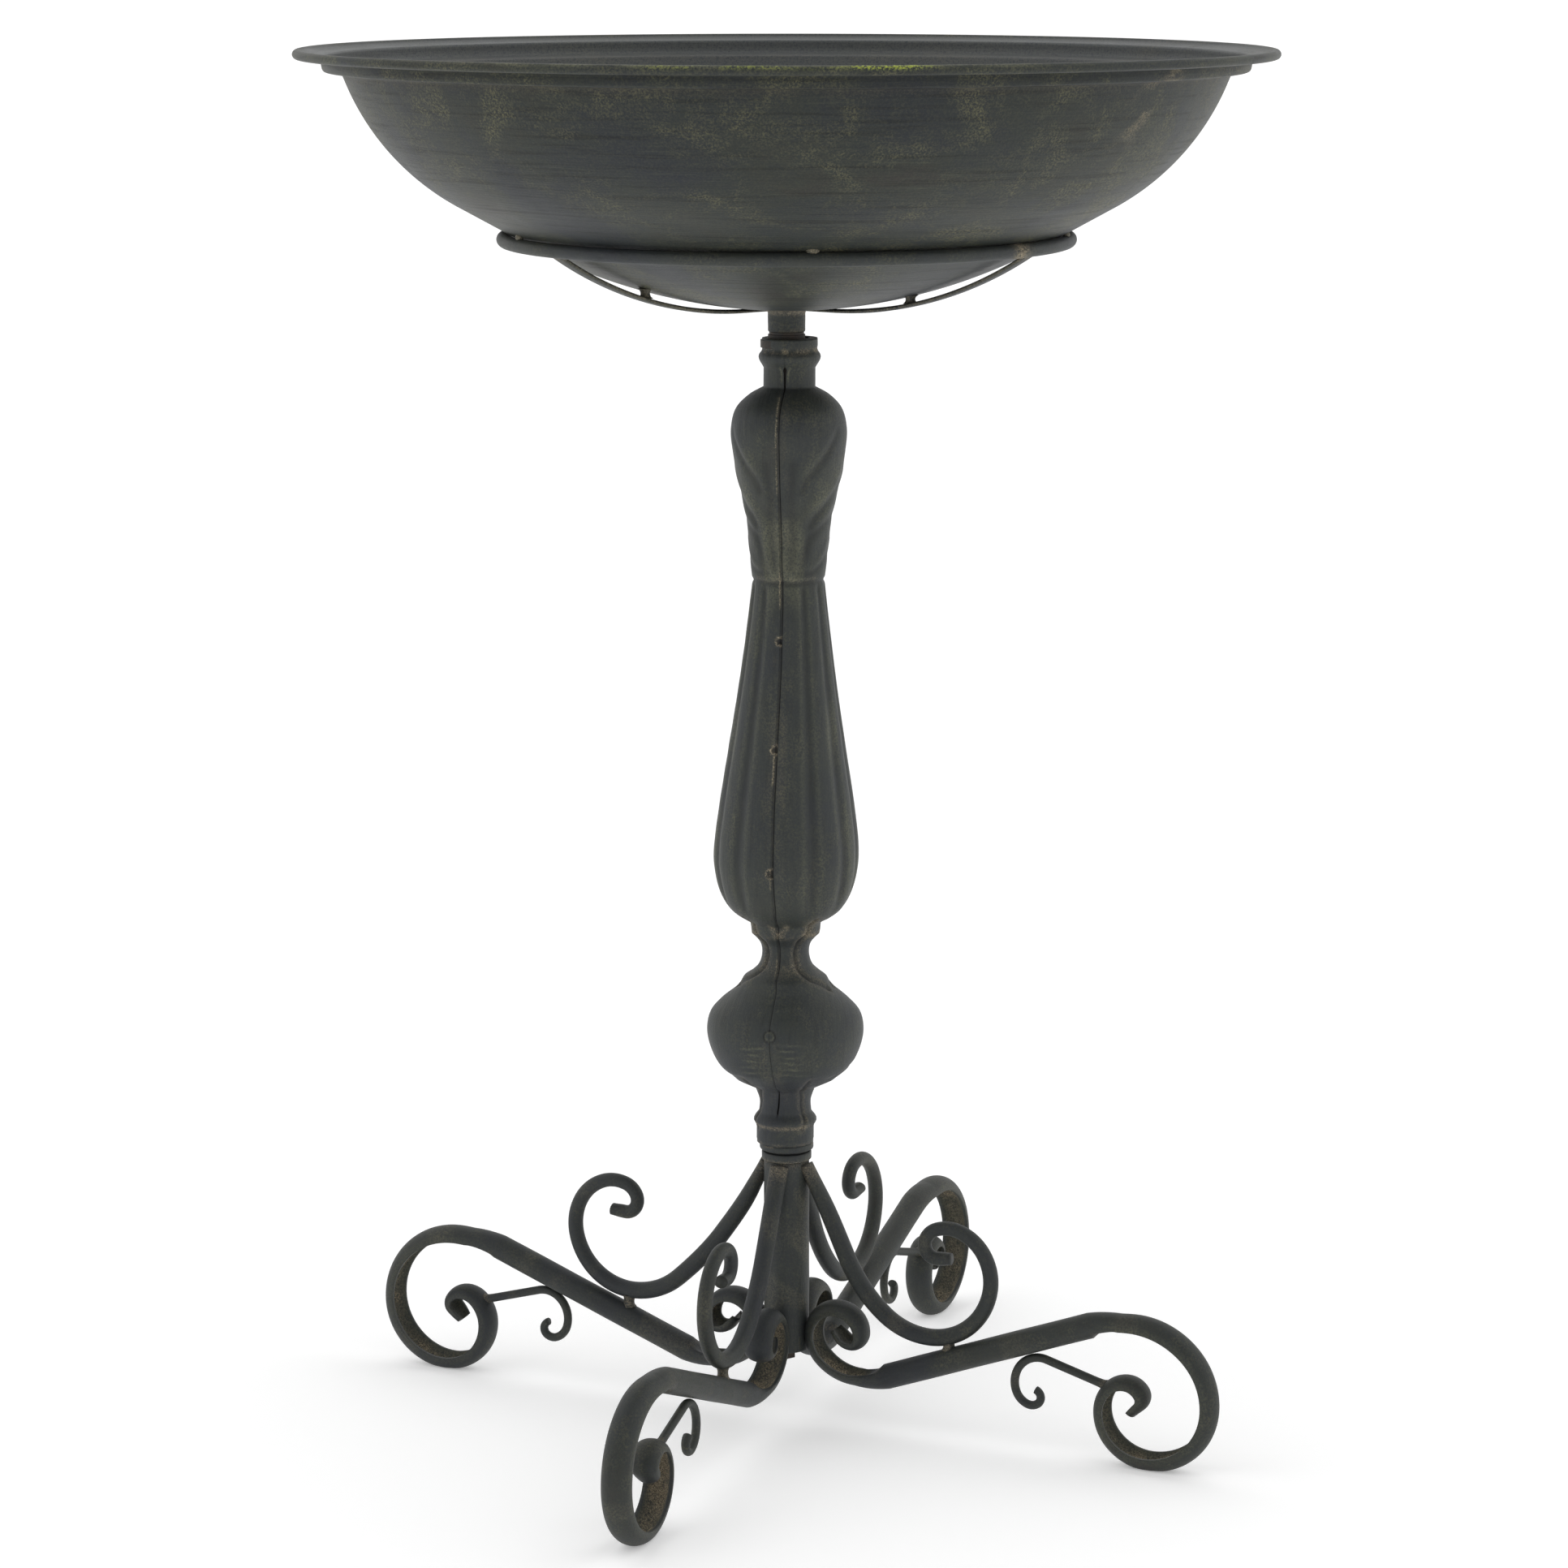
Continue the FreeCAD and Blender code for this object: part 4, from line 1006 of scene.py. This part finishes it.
def make_joint_ring():
    low, high, radius = joint_low[2], joint_high[2], joint_high[0]
    step, bore = 1.4, 12.75
    inner = flange_high[0] - step
    profile = rounded([(bore, low + CLEAR), (inner, low + CLEAR), (inner, low + step),
                       (radius, low + step), (radius, high - CLEAR), (bore, high - CLEAR)], 1.3)

    def masks(field, z):
        rough = smooth(-0.2, 0.6, field(3.0, 104))
        # painted shade in the step at the foot
        return {"rust_and_glint": 0.6 * rough * bump_at(z, high, 1.4),
                "painted_shade": 0.8 * bump_at(z, low + 0.7, 1.0)}

    turned_piece("column_joint_ring", "joint_ring", resample(profile, 0.6), 18,
                 (0.10, 3.0, 105), masks)


# ---- legs

LEG_SLOPE = math.radians(20.6)
LEG_MIDDLE = np.array([150.0, 65.9])
FOOT_RUN, HEEL_RUN, FLATTENING = 83.7, 77.2, 24.0
FOOT_BENDS = [(93, -20.6), (57.2, -45), (51.3, -45), (44.4, -45), (44.7, -45), (35.9, -45),
              (31.5, -45), (24.7, -45), (16.7, -45), (13.1, -60), (6.6, -75), (10,)]
HEEL_BENDS = [(66, -20.6), (38, -45), (25, -45), (21.5, -45), (20, -45), (18.5, -45),
              (17.5, -45), (8.5, -45), (7.5, -45), (12, -50), (7,)]
BRACE_BENDS = [(130, 22), (54, 40), (45.5, 40), (46, 40), (38, 40), (33.5, 40), (26.5, 40),
               (14, 45), (10, 50), (9, 70), (10,)]
TIE_BENDS = [(17, 25), (18.6, 50), (20, 50), (14, 50), (8.3, 50), (6, 45), (5.5, 45), (6, 40)]
LEG_TURNS = (0.0, 90.0, 180.0, 274.0)
STUD_RADIUS = 124.0
# How much tan grain each leg's hollows hold.
LEG_GRAIN = (0.55, 0.5, 0.4, 1.0)
# How far each brace's loop sits (outwards, upwards) from the pattern, in mm.
BRACE_SHIFTS = ((-2.5, -4.0), (0.0, 0.0), (9.0, 1.0), (0.0, 0.0))


def walk(start, heading, moves, spacing):
    """Points and headings along runs (length,) and bends (radius, degrees)."""
    point = np.array(start, float)
    line, headings = [point.copy()], [heading]
    for move in moves:
        if len(move) == 1:
            steps = max(1, int(round(move[0] / spacing)))
            for k in range(steps):
                point = point + move[0] / steps * np.array([math.cos(heading), math.sin(heading)])
                line.append(point)
                headings.append(heading)
            continue
        turn = math.radians(move[1])
        side = math.copysign(1.0, turn)
        centre = point + side * move[0] * np.array([-math.sin(heading), math.cos(heading)])
        steps = max(3, int(round(move[0] * abs(turn) / spacing)), int(abs(move[1]) / 6))
        for k in range(1, steps + 1):
            h = heading + turn * k / steps
            line.append(centre - side * move[0] * np.array([-math.sin(h), math.cos(h)]))
            headings.append(h)
        heading += turn
        point = line[-1]
    return np.array(line), np.array(headings)


def leg_line(spacing):
    """Leg from the heel's tip to the foot's, and how far along its straight starts and ends."""
    along = np.array([math.cos(LEG_SLOPE), math.sin(LEG_SLOPE)])
    heel, foot = LEG_MIDDLE - HEEL_RUN * along, LEG_MIDDLE + FOOT_RUN * along
    heel_line, heel_heads = walk(heel, LEG_SLOPE + math.pi, HEEL_BENDS, spacing)
    foot_line, foot_heads = walk(foot, LEG_SLOPE, FOOT_BENDS, spacing)
    straight, heads = walk(heel, LEG_SLOPE, [(HEEL_RUN + FOOT_RUN,)], spacing)
    line = np.vstack([heel_line[::-1], straight[1:-1], foot_line])
    headings = np.concatenate([heel_heads[::-1] - math.pi, heads[1:-1], foot_heads])
    run = run_along(line)
    return line, headings, run[len(heel_line) - 1], run[len(heel_line) + len(straight) - 2]


def make_legs():
    line, headings, heel_end, foot_start = leg_line(1.6)
    run = run_along(line)
    t = circle(48)
    x = np.cos(t)
    # the straight is slightly flattened, and the ends are rolled into open channels
    round_tube = np.stack([9.5 * x, 8.9 * np.sin(t)], 1)
    half_width = 10.5
    outer_face = -4.5 + 10.3 * np.abs(np.sin(t)) ** 0.9
    hollow_face = -4.6 + 6.6 * np.maximum(1 - (x / 0.78) ** 2, 0) ** 0.8
    total = run[-1]

    def flatness(s):
        foot = np.clip((s - foot_start) / FLATTENING, 0, 1)
        heel = np.clip((heel_end - s) / FLATTENING, 0, 1)
        return (foot, -1.0) if foot > 0 else (heel, 1.0)

    for k, turn in enumerate(LEG_TURNS):
        phase = np.random.default_rng(300 + k).uniform(0, TURN, 3)

        def section(i):
            f, inner = flatness(run[i])
            tip = min(run[i], total - run[i])
            shrink = 1 - 0.25 * math.exp(-tip / 5.0)
            reach = 110.0 if inner < 0 else 70.0
            slim = 1.0 if inner < 0 else 0.88
            thin = slim * np.interp(tip, (0, 8, 0.35 * reach, reach), (0.58, 0.70, 0.78, 1.0))
            depth = thin * (1.0 + 0.04 * math.sin(run[i] / 17 + phase[0]))
            face = np.where(np.sin(t) * inner > 0, hollow_face, outer_face)
            channel = np.stack([half_width * shrink * x, -inner * depth * face], 1)
            dent = 1 + 0.006 * math.sin(run[i] / 11 + phase[2])
            return round_tube * dent * (1 - f) + channel * f

        def marks_of(run, side):
            along, width = run[:, None], np.abs(x)
            flat, inner = np.array([flatness(s) for s in run]).T[..., None]
            towards = np.sin(t) * inner
            hollow = smooth(0.15, 0.5, towards) * (1 - smooth(0.72, 0.84, width))
            hollow = hollow * smooth(0.5, 1.0, flat)
            grainy = hollow * smooth(12, 45, np.minimum(along, total - along))
            grainy = grainy * (1 - smooth(0.4, 0.8, width))
            streaky = smooth(-0.3, 0.5, waves(along, side, 5.0, 12, 330 + k))
            patch = smooth(-0.6, 0.5, waves(along, side, 12.0, 12, 310 + k))
            spots = smooth(0.35, 0.9, waves(along, side, 9.0, 12, 320 + k))
            facet = bump_at(along, foot_start + 4, 3) + bump_at(along, heel_end - 4, 3)
            rust_and_glint = 3.0 * LEG_GRAIN[k] * grainy * (0.25 + patch * streaky) + 0.07 * spots
            rust_and_glint = rust_and_glint + 0.25 * facet * smooth(0.0, 1.0, towards)
            wear_and_highlight = 0.2 * smooth(0.86, 0.97, width) * flat + 0.1 * spots + 0.6 * hollow
            # a little painted shade in the hollow
            return {"rust_and_glint": rust_and_glint, "wear_and_highlight": wear_and_highlight, "painted_shade": 0.05 * hollow}

        sweep("leg_%d_tube" % (k + 1), line, headings, section, math.radians(turn), PEDESTAL,
              ["leg_scroll_%d" % (k + 1)], "scroll_patina", marks_of, floor=0.0)


def make_braces():
    line, headings = walk((15.0, 185.0), math.radians(-62.0), [(66.0,)] + BRACE_BENDS, 1.4)
    run = run_along(line)
    total = run[-1]
    t = circle(28)
    straight = smooth(25, 110, run)[:, None]
    for k, turn in enumerate(LEG_TURNS):
        phase = np.random.default_rng(400 + k).uniform(0, TURN)
        own_line = line + straight * BRACE_SHIFTS[k]

        def section(i):
            top = math.exp(-(run[i] / 26.0) ** 2)
            tip = math.exp(-((total - run[i]) / 5.0) ** 2)
            bar = 6.25 - 1.45 * smooth(90, total, run[i])
            dent = 1 + 0.012 * math.sin(run[i] / 13 + phase)
            wide = bar + 0.5 * top + 0.2 * tip
            deep = bar - 2.0 * top - 0.6 * tip
            return np.stack([wide * np.cos(t), deep * dent * np.sin(t)], 1)

        def marks_of(run, side):
            spots = waves(run[:, None], side + np.sin(t) * 6, 10.0, 12, 410 + k)
            spots = smooth(0.3, 0.9, spots)
            weld = bump_at(run[:, None], 0, 12)
            # painted shade at the top, where the brace meets the post
            return {"rust_and_glint": 0.08 * spots + 0.4 * weld, "wear_and_highlight": 0.12 * spots, "painted_shade": 0.4 * weld}

        sweep("brace_%d_bar" % (k + 1), own_line, headings, section, math.radians(turn), PEDESTAL,
              ["brace_scroll_%d" % (k + 1)], "scroll_patina", marks_of)


def make_ties():
    line, headings = walk((240.7, 54.2), math.radians(164.0), [(45.8,)] + TIE_BENDS, 1.0)
    run = run_along(line)
    total = run[-1]
    t = circle(20)
    for k, turn in enumerate(LEG_TURNS):
        def section(i):
            foot = math.exp(-run[i] / 2.0)
            tip = math.exp(-((total - run[i]) / 5.0) ** 2)
            return np.stack([(3.0 + 1.2 * foot + 0.4 * tip) * np.cos(t),
                             (3.0 + 1.2 * foot - 0.3 * tip) * np.sin(t)], 1)

        def marks_of(run, side):
            weld = bump_at(run[:, None], 0, 4)
            spots = smooth(0.2, 0.8, waves(run[:, None], side, 8.0, 12, 510 + k))
            return {"rust_and_glint": 0.5 * weld + 0.1 * spots, "wear_and_highlight": 0.1 * spots}

        sweep("tie_%d_bar" % (k + 1), line, headings, section, math.radians(turn), PEDESTAL,
              ["tie_rod_%d" % (k + 1)], "scroll_patina", marks_of)


def make_studs():
    low, high = node_box_mm("brace_studs")
    parts = []
    for k, turn in enumerate(LEG_TURNS):
        stub = concave_stub(3.7, low[2] - 0.6, high[2] + 0.6, 1.6)
        points, faces = lump(stub, 22, 600 + k, 0.06)
        parts.append((turned(points, math.radians(turn), STUD_RADIUS), faces))
    make_welds("brace_stud_welds", parts, 0.5, 0.2, PEDESTAL, "brace_studs", "scroll_patina")


# ---- kept CAD pieces

def dress_cad_nodes():
    slots = {n: m["slot"] for m in frame["record"]["materials"] for n in m.get("nodes", [])}
    for name, obj in frame["nodes"].items():
        if obj.hide_render:
            continue
        slot = slots.get(name, "plain_steel")
        obj.data.materials.clear()
        obj.data.materials.append(FINISHES[slot])


# ---- stage

def make_stage():
    reach, level = 400.0, -0.0004
    corners = ((-1, -1), (1, -1), (1, 1), (-1, 1))
    mesh = bpy.data.meshes.new("floor")
    mesh.from_pydata([(x * reach, y * reach, level) for x, y in corners], [], [(0, 1, 2, 3)])
    floor = bpy.data.objects.new("floor", mesh)
    bpy.context.scene.collection.objects.link(floor)
    material = bpy.data.materials.new("floor_paper")
    material.use_nodes = True
    principled = material.node_tree.nodes["Principled BSDF"]
    for key, value in (("Base Color", (0.9, 0.9, 0.9, 1)), ("Roughness", 0.9),
                       ("Specular IOR Level", 0.1), ("Emission Color", (1, 1, 1, 1)),
                       ("Emission Strength", 0.27)):
        principled.inputs[key].default_value = value
    mesh.materials.append(material)


def area_light(name, place, target, size, power):
    data = bpy.data.lights.new(name, "AREA")
    data.shape = "RECTANGLE"
    data.size, data.size_y = size
    data.energy = power
    lamp = bpy.data.objects.new(name, data)
    bpy.context.scene.collection.objects.link(lamp)
    lamp.location = place
    lamp.rotation_mode = "QUATERNION"
    lamp.rotation_quaternion = (Vector(target) - Vector(place)).to_track_quat("-Z", "Y")


def make_lights():
    """Even white studio with a dark side behind the viewer."""
    world = bpy.data.worlds.new("studio")
    bpy.context.scene.world = world
    world.use_nodes = True
    tree = world.node_tree
    background = tree.nodes["Background"]
    coords = tree.nodes.new("ShaderNodeTexCoord").outputs["Generated"]
    towards = tree.nodes.new("ShaderNodeVectorMath")
    towards.operation = "DOT_PRODUCT"
    tree.links.new(coords, towards.inputs[0])
    az = math.radians(CAMERA_AZIMUTH)
    towards.inputs[1].default_value = (math.sin(az), -math.cos(az), 0.1)
    ramp = tree.nodes.new("ShaderNodeMapRange")
    ramp.interpolation_type = "SMOOTHSTEP"
    tree.links.new(towards.outputs["Value"], ramp.inputs["Value"])
    for key, value in (("From Min", 0.25), ("From Max", 0.9), ("To Min", 1.02), ("To Max", 0.5)):
        ramp.inputs[key].default_value = value
    background.inputs["Color"].default_value = (1, 1, 1, 1)
    tree.links.new(ramp.outputs["Result"], background.inputs["Strength"])
    right = Vector((math.cos(az), math.sin(az), 0))
    back = Vector((-math.sin(az), math.cos(az), 0))
    centre = (0, 0, 0.55)
    area_light("right_box", right * 2.6 - back * 0.4 + Vector((0, 0, 1.6)), centre, (1.2, 2.0),
               2.2)
    area_light("left_box", -right * 2.4 - back * 1.6 + Vector((0, 0, 2.2)), centre, (1.2, 1.6),
               2.0)


def make_camera():
    data = bpy.data.cameras.new("camera")
    data.sensor_width = 36.0
    data.lens = 106.86
    data.shift_x = -0.00166
    data.clip_end = 200.0
    camera = bpy.data.objects.new("camera", data)
    bpy.context.scene.collection.objects.link(camera)
    az = math.radians(CAMERA_AZIMUTH)
    distance, height, pitch = 3.1562, 1.0581, 10.82
    camera.location = (math.sin(az) * distance, -math.cos(az) * distance, height)
    camera.rotation_euler = (math.radians(90 - pitch), 0, az)
    bpy.context.scene.camera = camera


make_basin()
make_ring()
make_spacers(make_struts())
make_pads()
make_sleeve()
make_shell("baluster_right_half", "baluster_shell_right", False)
make_shell("baluster_left_half", "baluster_shell_left", True)
make_post()
make_flange()
make_joint_ring()
make_legs()
make_braces()
make_ties()
make_studs()
dress_cad_nodes()
make_stage()
make_lights()
make_camera()
bpy.context.scene.view_settings.view_transform = "Standard"
